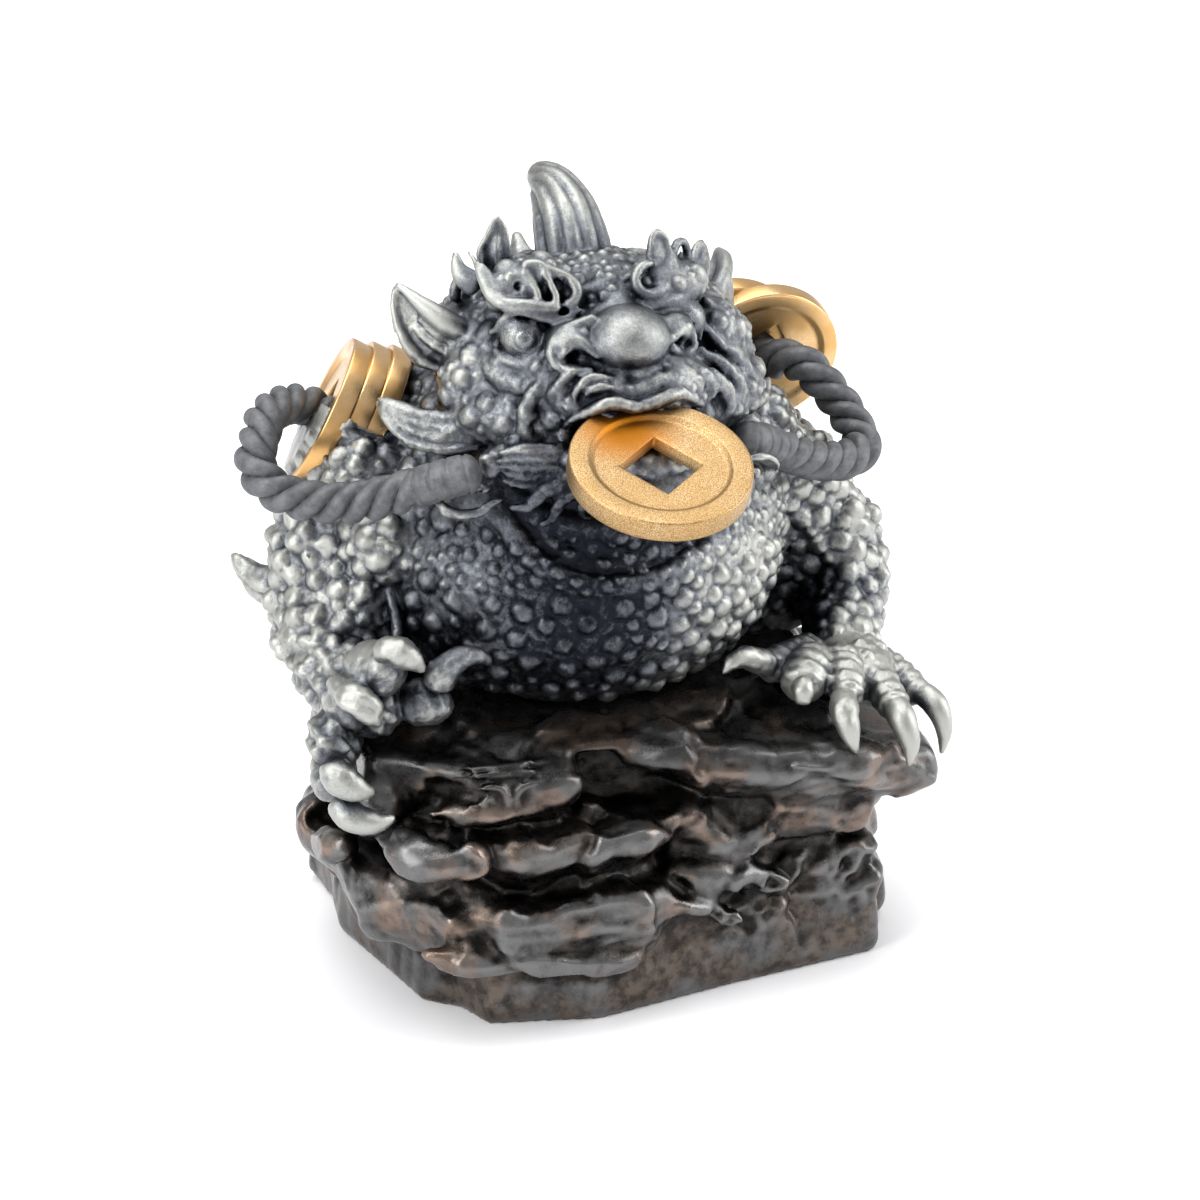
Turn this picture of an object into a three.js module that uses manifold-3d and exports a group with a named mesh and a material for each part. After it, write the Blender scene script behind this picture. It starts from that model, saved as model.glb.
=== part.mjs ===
// Money toad figure: a warty three-legged toad with a horn, seated on a layered rock, biting a coin.
// Millimetres, +Z up. The toad looks along -Y, and +X is its own left side.
// The origin is on the rock's flat underside, below the toad's mid-plane.
import * as THREE from 'three';
import { mergeVertices } from 'three/addons/utils/BufferGeometryUtils.js';
import Module from 'manifold-3d';

const wasm = await Module();
wasm.setup();

// Driving dimensions.
const GAP = 0.3;
const ROPE_RADIUS = 3.0;
const MOUTH_COIN = { radius: 13.2, thickness: 3.4, hole: 8.6, rim: 0.77, sink: 0.55 };
const STACK_COIN = { radius: 12.0, thickness: 3.1, hole: 8.4, rim: 0.8, sink: 0.5 };
const WART = 2.3;

// A closed geometry as a solid that can be joined and cut.
function solid(geometry) {
  const bare = geometry.clone();
  bare.deleteAttribute('normal');
  bare.deleteAttribute('uv');
  const merged = mergeVertices(bare, 1e-5);
  const make = (triVerts) => new wasm.Manifold(new wasm.Mesh({
    numProp: 3,
    vertProperties: new Float32Array(merged.attributes.position.array),
    triVerts,
  }));
  const body = make(new Uint32Array(merged.index.array));
  return body.volume() > 0 ? body : make(new Uint32Array(merged.index.array).reverse());
}

function join(solids) {
  return solids.reduce((whole, one) => whole.add(one));
}

const vec = (p) => new THREE.Vector3(...p);

// Reads a value along a list of equally spaced stations.
function along(list, t) {
  const s = Math.min(Math.max(t, 0), 1) * (list.length - 1);
  const i = Math.min(Math.floor(s), list.length - 2);
  return list[i] + (list[i + 1] - list[i]) * (s - i);
}

// An ellipsoid.
function ball(centre, radii, sides, rings) {
  const g = new THREE.SphereGeometry(1, sides, rings);
  g.rotateX(Math.PI / 2);
  g.scale(...radii);
  g.translate(...centre);
  return solid(g);
}

// A round-ended limb along a smooth spine. flat squeezes it along `facing`, flutes groove it
// lengthwise, and twist turns the section in whole turns from end to end.
function limb(spine, radii, opts = {}) {
  const { sides = 7, rings = 6, flat = 1, facing = [0, 0, 1], flutes = 0, depth = 0.2, twist = 0, grow = 0 } = opts;
  const curve = new THREE.CatmullRomCurve3(spine.map(vec));
  const length = curve.getLength();
  const frames = curve.computeFrenetFrames(60);
  const g = new THREE.SphereGeometry(1, sides, rings);
  const pos = g.attributes.position;
  const face = vec(facing);
  for (let i = 0; i < pos.count; i += 1) {
    const theta = Math.acos(THREE.MathUtils.clamp(pos.getY(i), -1, 1));
    const t = theta / Math.PI;
    const angle = Math.atan2(pos.getZ(i), pos.getX(i));
    const centre = curve.getPointAt(t);
    const tangent = curve.getTangentAt(t);
    let n = face.clone().addScaledVector(tangent, -face.dot(tangent));
    if (twist || n.length() < 0.2) n = frames.normals[Math.round(t * 60)].clone();
    n.normalize();
    const b = tangent.clone().cross(n);
    const end = Math.min(t, 1 - t) * length;
    const r = along(radii, t);
    const cap = Math.min(1, end / Math.max(r * 0.7, 0.01));
    let size = r * Math.sqrt(Math.max(0, 1 - (1 - cap) ** 2)) + (t > 0.001 && t < 0.999 ? grow : 0);
    if (flutes) size *= 1 - depth * 0.5 + depth * 0.5 * Math.cos(flutes * angle);
    const a = angle + twist * 2 * Math.PI * t;
    const p = centre.clone();
    if (t < 0.001) p.addScaledVector(tangent, -grow);
    if (t > 0.999) p.addScaledVector(tangent, grow);
    p.addScaledVector(n, Math.cos(a) * size * flat).addScaledVector(b, Math.sin(a) * size);
    pos.setXYZ(i, p.x, p.y, p.z);
  }
  return solid(g);
}

const mirror = (p) => [-p[0], p[1], p[2]];

// A repeatable value between 0 and 1.
function chance(seed) {
  const s = Math.sin(seed * 127.1 + 311.7) * 43758.5453;
  return s - Math.floor(s);
}

// A five-sided knob standing on `p` and pointing along `out`.
function knob(p, out, r, turn) {
  const g = new THREE.ConeGeometry(r, r * 1.9, 5);
  g.rotateY(turn);
  g.applyQuaternion(new THREE.Quaternion().setFromUnitVectors(new THREE.Vector3(0, 1, 0), out));
  g.translate(p.x, p.y, p.z);
  return solid(g);
}

// Knobs spread evenly over an ellipsoid where keep(point) allows one.
function warts(centre, radii, count, size, keep) {
  const out = [];
  for (let i = 0; i < count; i += 1) {
    const z = 1 - (2 * i + 1) / count;
    const s = Math.sqrt(1 - z * z);
    const unit = new THREE.Vector3(s * Math.cos(i * 2.399963), s * Math.sin(i * 2.399963), z);
    const p = new THREE.Vector3(...radii).multiply(unit).add(vec(centre));
    if (!keep(p)) continue;
    out.push(knob(p, unit.divide(vec(radii)).normalize(), size * (0.8 + 0.4 * chance(i)), i));
  }
  return out;
}

// Knobs wound round a limb from one end to the other where keep(point) allows one.
function wartsAlong([spine, radii], count, size, keep) {
  const curve = new THREE.CatmullRomCurve3(spine.map(vec));
  const out = [];
  for (let i = 0; i < count; i += 1) {
    const t = (i + 0.5) / count;
    const tangent = curve.getTangentAt(t);
    const side = new THREE.Vector3(1, 0, 0).addScaledVector(tangent, -tangent.x).normalize();
    const up = tangent.clone().cross(side);
    const unit = side.multiplyScalar(Math.cos(i * 2.4)).addScaledVector(up, Math.sin(i * 2.4));
    const p = curve.getPointAt(t).addScaledVector(unit, along(radii, t) * 0.98);
    if (keep(p)) out.push(knob(p, unit, size * (0.8 + 0.4 * chance(i)), i));
  }
  return out;
}

// The corners where neighbouring chords [direction in degrees, distance] cross, with a slightly
// knocked-in point half way along each edge of a slab that has a seed.
function outline(chords, seed, grow) {
  const turn = ([degrees]) => (degrees + 360) % 360;
  const ring = [...chords].sort((a, b) => turn(a) - turn(b)).map(([degrees, d]) => {
    const a = THREE.MathUtils.degToRad(degrees);
    return [Math.cos(a), Math.sin(a), d + grow];
  });
  const corners = ring.map(([x0, y0, d0], i) => {
    const [x1, y1, d1] = ring[(i + 1) % ring.length];
    const det = x0 * y1 - x1 * y0;
    return [(d0 * y1 - d1 * y0) / det, (x0 * d1 - x1 * d0) / det];
  });
  if (!seed) return corners;
  return corners.flatMap(([x, y], i) => {
    const [u, v] = corners[(i + 1) % corners.length];
    const k = 1 - 0.045 * chance(seed * 31 + i);
    return [[x, y], [(x + u) * 0.5 * k, (y + v) * 0.5 * k]];
  });
}

// A rock slab standing on its outline, undercut by `lean`, with a worn top edge, tilted by rises
// per mm along X and Y.
function slab({ at, z, chords, tilt = [0, 0], lean = 0.93, seed = 1 }, grow = 0) {
  const [low, high] = [z[0] - (z[0] ? grow : 0), z[1] + grow];
  const rim = outline(chords, seed, grow);
  const rows = [[0, low], [z[0] ? lean : 1, low], [1, low + (high - low) * 0.5], [0.95, high], [0, high]];
  const g = new THREE.LatheGeometry(rows.map(([r, h]) => new THREE.Vector2(r, h)), rim.length);
  const pos = g.attributes.position;
  for (let i = 0; i < pos.count; i += 1) {
    const [r, h] = rows[i % rows.length];
    const [x, y] = rim[Math.floor(i / rows.length) % rim.length];
    const slope = z[0] === 0 && h === 0 ? 0 : tilt[0] * x * r + tilt[1] * y * r;
    pos.setXYZ(i, at[0] + x * r, at[1] + y * r, h + slope);
  }
  return solid(g);
}

// A coin with a square hole, centred, its axis along +Z, with a raised rim on its upper face where
// faces is 1 and on both where it is 2.
function coin(c, sides, { grow = 0, holed = true, faces = 2 } = {}) {
  const [r, h] = [c.radius + grow, c.thickness / 2 + grow];
  const inner = c.rim * c.radius;
  const rimmed = (k) => [[0, k * (h - c.sink)], [inner - 0.5, k * (h - c.sink)], [inner, k * h], [r, k * h]];
  const plain = (k) => [[0, k * h], [r, k * h]];
  const profile = [...(faces > 1 ? rimmed : plain)(-1), ...(faces > 0 ? rimmed : plain)(1).reverse()];
  const g = new THREE.LatheGeometry(profile.map(([x, y]) => new THREE.Vector2(x, y)), sides);
  g.rotateX(Math.PI / 2);
  const body = solid(g);
  if (!holed) return body;
  return body.subtract(solid(new THREE.BoxGeometry(c.hole, c.hole, c.thickness * 2)));
}

// Places a solid made on +Z so that its axis follows `normal`, spun by degrees about it.
function place(body, centre, normal, spin = 0) {
  const n = vec(normal).normalize();
  const side = new THREE.Vector3(1, 0, 0).addScaledVector(n, -n.x).normalize();
  const up = n.clone().cross(side);
  const m = new THREE.Matrix4().makeBasis(side, up, n);
  m.multiply(new THREE.Matrix4().makeRotationZ(THREE.MathUtils.degToRad(spin)));
  m.setPosition(...centre);
  return body.transform(m.elements);
}

// The rock, from the foot up.
const SLABS = [
  { at: [0, 0], z: [0, 20], lean: 0.97, seed: 1,
    chords: [[-80, 35.2], [-102, 37.8], [-145, 39], [-168, 35.6], [178, 37.2], [135, 43], [90, 40], [45, 50], [0, 45.5], [-22, 48.3]] },
  { at: [-16, -8], z: [10.5, 22], lean: 0.9, seed: 2,
    chords: [[-90, 34], [-122, 33], [-150, 27.5], [180, 24.5], [-58, 37], [-20, 36], [90, 22]] },
  { at: [-22, 0], z: [13.5, 22.6], lean: 0.86, seed: 3, tilt: [-0.04, 0],
    chords: [[197, 22], [-125, 29.5], [-90, 33], [150, 19], [90, 24], [0, 20]] },
  { at: [0, 2], z: [17, 41], lean: 1, seed: 0, chords: [[-90, 31], [-130, 35], [180, 36], [135, 42], [90, 37], [45, 44], [0, 40], [-40, 44]] },
  { at: [-16, -10], z: [26, 32.5], lean: 0.9, seed: 5, tilt: [0.02, 0.02],
    chords: [[-90, 30.5], [-128, 27], [180, 22.5], [-62, 34], [-10, 30], [90, 25]] },
  { at: [22, -6], z: [22, 31], lean: 0.93, seed: 6, chords: [[-88, 27], [-35, 28], [0, 22.5], [180, 30], [90, 30], [-125, 33]] },
  { at: [-19, -8], z: [33, 43], lean: 0.9, seed: 7, tilt: [0, 0.05],
    chords: [[-92, 28.5], [-130, 25], [180, 20], [-50, 26], [-10, 13], [90, 28]] },
  { at: [22, -6], z: [31, 41.4], lean: 0.82, seed: 8, tilt: [-0.2, 0.03],
    chords: [[-92, 32], [-70, 34.6], [-8, 29.2], [35, 30], [180, 23], [-130, 33], [90, 30]] },
  { at: [2, 8], z: [34, 45], lean: 0.96, seed: 9, tilt: [0, 0.02],
    chords: [[-90, 34], [-128, 36], [180, 35], [140, 37], [90, 32], [40, 36], [0, 34], [-50, 37]] },
];

const rock = (grow = 0) => join(SLABS.map((s) => slab(s, grow)));

// Ropes: a spine from the beard, round the shoulder and through the middle of its coins.
const STACKS = {
  right: { end: [-36.6, 10, 84.3], normal: [-0.853, 0.224, 0.463], fan: [0.5, 0.6, 0.6], spin: 20, coins: 3 },
  left: { end: [35.2, 12, 84.3], normal: [-0.05, -0.955, -0.296], fan: [-5.2, 0.3, -0.3], spin: 30, coins: 3 },
};
const ROPES = {
  right: [[-15, -25, 84.6], [-22, -27, 85.6], [-25.7, -26, 85], [-30.7, -23, 82.8], [-35.9, -19, 80.2], [-41.2, -15, 78.8],
    [-46.9, -11, 79.2], [-50.3, -8, 81], [-50.8, -5, 83.1], [-49, -2, 85.2], [-46.6, 2, 86.9], [-43, 6, 87],
    [-39.6, 9, 85.8], [-36.6, 10, 84.3], [-32, 8.8, 81.8], [-28, 7.8, 79.7]],
  left: [[13, -23, 86], [19.8, -22, 84.1], [23.5, -20, 82.6], [28.8, -17, 79.3], [34, -14, 76.6], [40.4, -10, 74.6],
    [44.6, -6.5, 75], [44.6, -3, 77.2], [43.4, 0, 80], [41.3, 2, 82.9], [39.2, 4, 85.2], [37, 6.6, 85.8], [35.4, 10, 84.9],
    [34.6, 14, 85.2], [32, 18, 86.2], [29.6, 22, 87.2]],
};

function rope(side, grow = 0) {
  const r = ROPE_RADIUS * (grow ? 1.12 : 1);
  return limb(ROPES[side], [r * 1.15, r * 1.15, r, r, r, r, r, r * 0.95, r * 0.9, r * 0.85], {
    sides: grow ? 6 : 9, rings: 18, flutes: grow ? 0 : 3, depth: 0.24, twist: grow ? 0 : 4.5, grow,
  });
}

function stack(side, grow = 0) {
  const { end, normal, fan, spin, coins } = STACKS[side];
  const n = vec(normal).normalize();
  const whole = [];
  for (let i = 0; i < coins; i += 1) {
    const back = (i + 0.5) * STACK_COIN.thickness - i * 0.15;
    const at = end.map((v, k) => v - n.getComponent(k) * back + fan[k] * i);
    const look = grow ? { grow, holed: false, faces: 0 } : { faces: i === 0 ? 1 : 0 };
    whole.push(place(coin(STACK_COIN, grow ? 14 : 20, look), at, normal, spin + 12 * i));
  }
  return join(whole);
}

// Ellipsoids of the body and head: centre, radii, sides, rings.
const BODY = [
  [[0, 6, 66], [35, 33, 31], 16, 8],
  [[-1, -8, 63], [30, 22.5, 21.5], 13, 7],
  [[0, -15, 77], [23.5, 14.5, 12.5], 10, 5],
  [[0, 30, 56], [16, 11.5, 13], 9, 5],
  [[0, 8, 88], [21, 15, 11], 10, 5],
  // Left shoulder beside the rope, and haunches that fill the flanks behind the arms.
  [[33.4, 0, 80.6], [6.6, 6.6, 5.6], 6, 3],
  [[30, 13, 50.5], [14, 15, 14.5], 8, 4],
  [[-26, 13, 54], [13.5, 15, 13], 7, 4],
];
const HEAD = [
  [[0, -5, 97], [23.5, 17.5, 12.5], 14, 7],
  [[1, -12, 90.5], [25, 16, 9.5], 12, 5],
  [[0.5, -23, 95], [14, 10, 7.5], 8, 5],
  [[1, -28.6, 86.8], [13, 9.4, 4.6], 8, 5],
  [[0, -25, 102.4], [8.2, 6, 4.9], 9, 6],
  [[-7.8, -23.4, 101.2], [3.6, 4.4, 3.4], 6, 4],
  [[8.4, -23.4, 100.9], [3.6, 4.4, 3.4], 6, 4],
  [[-12.4, -18.8, 103.2], [3.4, 3.4, 3.4], 7, 5],
  [[11.6, -18.8, 103.2], [3.4, 3.4, 3.4], 7, 5],
];
// Limbs made on both sides, given for the toad's right (-X): spine, radii along it, options.
const PAIRED = [
  // Brow ridge.
  [[[-3, -21, 107.4], [-8, -22, 107], [-13.5, -19, 108], [-18, -13, 110], [-19.5, -8, 112]], [2, 2.6, 2.6, 2.2, 0.6], { sides: 6 }],
  // Moustache and beard curl.
  [[[-2, -28.4, 98.2], [-7, -29.5, 97.6], [-11.5, -27.6, 95.4], [-14, -24.6, 96.8]], [1.4, 1.9, 1.6, 0.5], { sides: 5, rings: 5 }],
  [[[-18, -18, 88.5], [-22.5, -20, 84.5], [-28, -20, 84.5]], [2.8, 2.6, 0.6], { sides: 6, rings: 5 }],
  // Flame lock on the cheek.
  [[[-21, -13, 89.5], [-27, -12, 87.2], [-31, -9, 88], [-32, -5.5, 91.6]], [3.2, 3.6, 2.8, 0.5],
    { flat: 0.6, facing: [-0.4, -0.8, 0.3], sides: 6, rings: 5 }],
];
const SINGLE = [
  // Leaf ears, the left one laid further back.
  [[[-19, -9, 96.5], [-23.5, -8, 99.5], [-26.5, -6.5, 103.5], [-28.6, -5, 108]], [3.6, 4.8, 3.6, 0.5],
    { flat: 0.42, facing: [-0.35, -0.9, 0.2], rings: 6, sides: 6 }],
  [[[19, -4, 96], [23, 0, 98.5], [25, 4, 101], [26, 9, 104]], [3.6, 4.8, 3.6, 0.5],
    { flat: 0.42, facing: [0.8, -0.5, 0.4], rings: 6, sides: 6 }],
  // Upper lip.
  [[[-13, -29, 91.8], [-9.5, -31.6, 94.8], [-5, -32.6, 96.9], [0.3, -33, 95.2], [5.4, -32.6, 97], [10, -31.6, 95.2], [14, -29, 92.2]],
    [1.5, 1.7, 1.9, 1.5, 1.9, 1.7, 1.5], { rings: 9, sides: 5 }],
  // Bridge of the nose.
  [[[0, -12, 107], [0, -19, 107.4], [0, -24, 105]], [4.2, 3.8, 3.4], { rings: 5 }],
  // Horn, and the first spine behind it.
  [[[0.4, -2, 105], [0.4, 1.5, 110.4], [0.3, 5.5, 114.2], [-0.3, 9.6, 116.8], [-1.8, 13.6, 118]], [5.6, 5.4, 4.8, 3.4, 1.3],
    { sides: 12, rings: 6, flutes: 6, depth: 0.26, facing: [0, -1, 0] }],
  [[[0, 14, 94], [0, 22, 97.5], [0, 28.6, 103.6]], [4, 3.2, 0.5], { rings: 5, sides: 5, facing: [0, -1, 0] }],
  // Flame tips standing on the brows.
  [[[-13.5, -15, 109], [-16.2, -12.6, 113.4], [-15, -12, 118.6]], [2.6, 2, 0.4], { rings: 5, sides: 6 }],
  [[[-17.5, -12, 108], [-20.4, -9.5, 110.4], [-20.6, -8.5, 113.6]], [2.2, 1.7, 0.4], { rings: 5, sides: 5 }],
  [[[7.4, -20.4, 107], [7.2, -17, 111.6], [8.4, -16, 115.6]], [2.6, 2.1, 0.4], { rings: 5, sides: 5 }],
  [[[12.6, -15.5, 109], [13.6, -13.5, 111.6], [12.6, -12, 114.2]], [2.2, 1.8, 0.4], { rings: 5, sides: 5 }],
  // Double chin folds across the chest.
  [[[-23, -20, 81], [-15, -27, 74.4], [-4, -29.6, 70.6], [8, -28.6, 72.4], [20, -22.5, 78.6]], [1.8, 2.6, 2.9, 2.6, 1.8], { rings: 6, sides: 5 }],
  [[[-19, -23.4, 82.5], [-10, -28, 77.6], [1, -29, 75.6], [12, -27, 78.4], [19, -22.6, 82]], [1.6, 2.4, 2.6, 2.4, 1.6], { rings: 6, sides: 5 }],
  // Elbow spikes.
  [[[-41, 3, 57.6], [-46.6, 9, 58.4], [-50.2, 14.2, 61]], [3.6, 2.8, 0.4], { rings: 5, sides: 6 }],
  [[[45, 4, 51], [49.5, 9.5, 52.4], [52.5, 14.5, 55.2]], [3.4, 2.4, 0.4], { rings: 5, sides: 6 }],
  // Right palm on the corner of the rock, then its digits from the inside out.
  [[[-36, -14, 48], [-36, -23, 47.6], [-35.6, -29, 46]], [7, 8.4, 5], { flat: 0.8, rings: 6, sides: 8 }],
  [[[-33, -23, 50], [-27.6, -28.6, 50.6], [-22.6, -29.6, 52], [-18.8, -28, 56]], [3.2, 3.4, 2.3, 0.4], { rings: 6, sides: 5 }],
  [[[-37.4, -20, 54], [-36.6, -26.6, 57.6], [-33, -30.4, 57.6], [-29, -31, 56.4]], [3.2, 3.2, 2.2, 0.4], { rings: 6, sides: 5 }],
  [[[-40.4, -20, 51], [-42.4, -27, 52.4], [-40.4, -31.6, 52], [-36.4, -33.4, 50.2]], [3.3, 3.3, 2.3, 0.4], { rings: 6, sides: 5 }],
  [[[-41, -20, 46.6], [-44.2, -27.6, 46], [-43, -32.4, 44], [-38.6, -34.4, 40.4]], [3.3, 3.3, 2.3, 0.4], { rings: 6, sides: 5 }],
  [[[-40.4, -18, 43], [-44, -26, 40.4], [-42.6, -31.4, 37.6], [-37, -34.2, 35.2]], [3.3, 3.2, 2.3, 0.4], { rings: 6, sides: 5 }],
  // Left palm spread over the ledge, then its digits from the thumb out.
  [[[40, -12, 45.4], [38, -20, 44.6], [37, -26, 42.6]], [6.4, 7.8, 5], { flat: 0.7, rings: 6, sides: 8 }],
  [[[34, -16, 46], [27.4, -19, 47], [21.6, -20.6, 49.6], [16.4, -21.6, 48.2]], [3.2, 3.1, 2.2, 0.4], { rings: 6, sides: 5 }],
  [[[33, -20, 46], [28.8, -26.4, 47], [26.8, -30.6, 46.4], [25.4, -33, 42]], [3.2, 3.2, 2.3, 0.4], { rings: 6, sides: 5 }],
  [[[36, -21, 45.6], [34.4, -29, 45], [33.4, -34.6, 42.6], [32.6, -38.2, 37.2]], [3.2, 3.1, 2.3, 0.4], { rings: 6, sides: 5 }],
  [[[39.6, -20, 44.6], [41, -28.4, 42.6], [41.8, -33.6, 39.6], [42.2, -37, 33.6]], [3.2, 3.1, 2.2, 0.4], { rings: 6, sides: 5 }],
  [[[42, -17, 44], [46.2, -24, 41.4], [48.8, -28.4, 38.2], [49.8, -30.4, 32]], [3.2, 3, 2.2, 0.4], { rings: 6, sides: 5 }],
  // Single hind foot, folded flat behind, with three toes.
  [[[0, 30, 50], [4, 36, 50], [2, 37, 47]], [7, 5, 4], { rings: 5, sides: 7 }],
  [[[1, 34, 47.6], [-6, 36.4, 47.4], [-12.4, 36.6, 46.4]], [3.2, 2.4, 0.5], { rings: 4, sides: 5 }],
  [[[2, 34, 48], [2, 37.6, 48], [1, 40.6, 46.6]], [3.2, 2.3, 0.5], { rings: 4, sides: 5 }],
  [[[3, 34, 47.6], [9.6, 36.4, 47.4], [15.4, 36.4, 46.4]], [3.2, 2.4, 0.5], { rings: 4, sides: 5 }],
  // Spines down the back.
  [[[0, 20, 88], [0, 27, 90.5], [0, 33, 94.5]], [4, 3, 0.4], { rings: 5, sides: 5 }],
  [[[0, 27, 80], [0, 33, 81.5], [0, 38.6, 84.5]], [3.6, 2.8, 0.4], { rings: 5, sides: 5 }],
  [[[0, 32, 70], [0, 37, 71], [0, 41, 73]], [3.2, 2.4, 0.4], { rings: 5, sides: 5 }],
];
// Arms from shoulder to wrist.
const ARMS = [
  [[[-28, 3, 78], [-34.2, 3.5, 70.5], [-37.6, 3, 60.5], [-39.8, -3, 53.5], [-38.6, -12, 48.5], [-36, -20, 46.5]],
    [11, 9.6, 8.2, 7.4, 7, 6.6]],
  [[[30, 3, 76], [40, 3, 66], [43.6, 2, 55.5], [43, -3, 49], [40.2, -11, 46], [38, -18, 44.6]],
    [10.8, 10, 8.2, 7, 6, 6]],
];

function toad() {
  const parts = [];
  for (const [centre, radii, sides, rings] of [...BODY, ...HEAD]) parts.push(ball(centre, radii, sides, rings));
  for (const [spine, radii, opts] of PAIRED) {
    const o = opts ?? {};
    parts.push(limb(spine, radii, o));
    parts.push(limb(spine.map(mirror), radii, o.facing ? { ...o, facing: mirror(o.facing) } : o));
  }
  for (const [spine, radii, opts] of SINGLE) parts.push(limb(spine, radii, opts));
  for (const [spine, radii] of ARMS) parts.push(limb(spine, radii, { sides: 8, rings: 9 }));
  const chest = (p) => p.y < -18 && p.z > 67 && Math.abs(p.x) < 23;
  parts.push(...warts([0, 6, 66], [34.6, 32.6, 30.6], 40, WART * 1.1, (p) => p.z < 84 && p.z > 52 && p.y > 8));
  parts.push(...warts([-1, -8, 63], [29.6, 22.1, 21.1], 72, WART, (p) => !chest(p) && p.z < 72 && p.y < -18 && p.z > 48));
  parts.push(...warts([0, -5, 97], [23.2, 17.2, 12.2], 27, WART * 0.8, (p) => p.z > 104 && p.y > -14));
  parts.push(...wartsAlong(ARMS[0], 18, WART, (p) => p.x < -34 && p.z > 51));
  parts.push(...wartsAlong(ARMS[1], 18, WART, (p) => p.x > 35 && p.z > 51));
  let body = join(parts);
  // Nostrils and pupils.
  for (const x of [-9.2, 9.8]) body = body.subtract(ball([x, -27, 100.6], [1.5, 2.4, 1.3], 6, 4));
  for (const x of [-13, 12.2]) body = body.subtract(ball([x, -22.4, 103.2], [1.3, 1, 1.3], 5, 4));
  return body;
}

const mouthNormal = [0, -0.37, 0.93];
const mouthCentre = [0, -41.3, 88.3];
const mouthCoin = (grow = 0) => place(
  coin(MOUTH_COIN, grow ? 18 : 30, grow ? { grow, holed: false, faces: 0 } : {}), mouthCentre, mouthNormal, 37);

let figure = toad();
figure = figure.subtract(rock(GAP));
figure = figure.subtract(mouthCoin(GAP));
for (const side of ['right', 'left']) figure = figure.subtract(stack(side, GAP)).subtract(rope(side, GAP * 1.6));
// Crumbs that the cords cut off are dropped.
figure = figure.decompose().sort((a, b) => b.volume() - a.volume())[0];

function material(color, roughness, metalness) {
  return new THREE.MeshStandardMaterial({ color, roughness, metalness });
}

function mesh(name, body, look) {
  const out = body.getMesh();
  const g = new THREE.BufferGeometry();
  g.setAttribute('position', new THREE.BufferAttribute(new Float32Array(out.vertProperties), 3));
  g.setIndex(new THREE.BufferAttribute(new Uint32Array(out.triVerts), 1));
  const m = new THREE.Mesh(g, look);
  m.name = name;
  return m;
}

const group = new THREE.Group();
group.add(mesh('rock_base', rock(), material(0x2b2522, 0.42, 0.7)));
group.add(mesh('toad', figure, material(0x8b8d8a, 0.4, 0.9)));
group.add(mesh('mouth_coin', mouthCoin(), material(0xd9a441, 0.35, 1)));
for (const side of ['right', 'left']) {
  group.add(mesh(`${side}_rope`, rope(side), material(0x3a3a3c, 0.6, 0.5)));
  group.add(mesh(`${side}_coin_stack`, stack(side).subtract(rope(side, GAP * 1.6)), material(0xd9a441, 0.35, 1)));
}

export default group;
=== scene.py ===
import math

import bmesh
import bpy
import numpy as np
from mathutils import Matrix, Vector, noise
from mathutils.bvhtree import BVHTree
from mathutils.kdtree import KDTree


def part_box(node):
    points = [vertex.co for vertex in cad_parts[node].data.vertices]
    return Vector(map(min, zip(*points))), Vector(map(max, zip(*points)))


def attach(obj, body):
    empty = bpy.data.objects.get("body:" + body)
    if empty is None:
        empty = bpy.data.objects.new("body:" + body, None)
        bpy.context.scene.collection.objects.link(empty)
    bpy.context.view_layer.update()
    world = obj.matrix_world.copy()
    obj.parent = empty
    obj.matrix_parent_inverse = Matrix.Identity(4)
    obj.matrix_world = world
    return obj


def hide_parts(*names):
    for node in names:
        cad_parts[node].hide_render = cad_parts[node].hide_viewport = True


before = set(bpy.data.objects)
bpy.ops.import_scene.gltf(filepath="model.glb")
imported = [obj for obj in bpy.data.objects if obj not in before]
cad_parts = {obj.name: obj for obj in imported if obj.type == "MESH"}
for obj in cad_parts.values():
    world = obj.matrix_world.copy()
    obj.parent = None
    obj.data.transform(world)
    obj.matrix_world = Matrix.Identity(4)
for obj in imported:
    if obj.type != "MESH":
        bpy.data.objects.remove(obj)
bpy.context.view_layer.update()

# The rock: one hollow casting in a dark bronze finish, modelled on stacked slabs of weathered stone
# with a smooth spout, a scrolled ledge and crinkled patches, and rubbed back to copper on its edges.
ROCK_VOXEL = 0.55
ROCK_FACES = 190000
WEATHERING_ROUNDS = 11
FACET_SIZE = (14, 14, 7.5)
FACET_TILT = 3.4
CHIP_SIZE = (6, 6, 3.4)
CHIP_TILT = 0.8
LAYER_HEIGHT = 2.1
# Directions tried from each point to tell how much of the room it sees.
SKY_RAYS = 11
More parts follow.
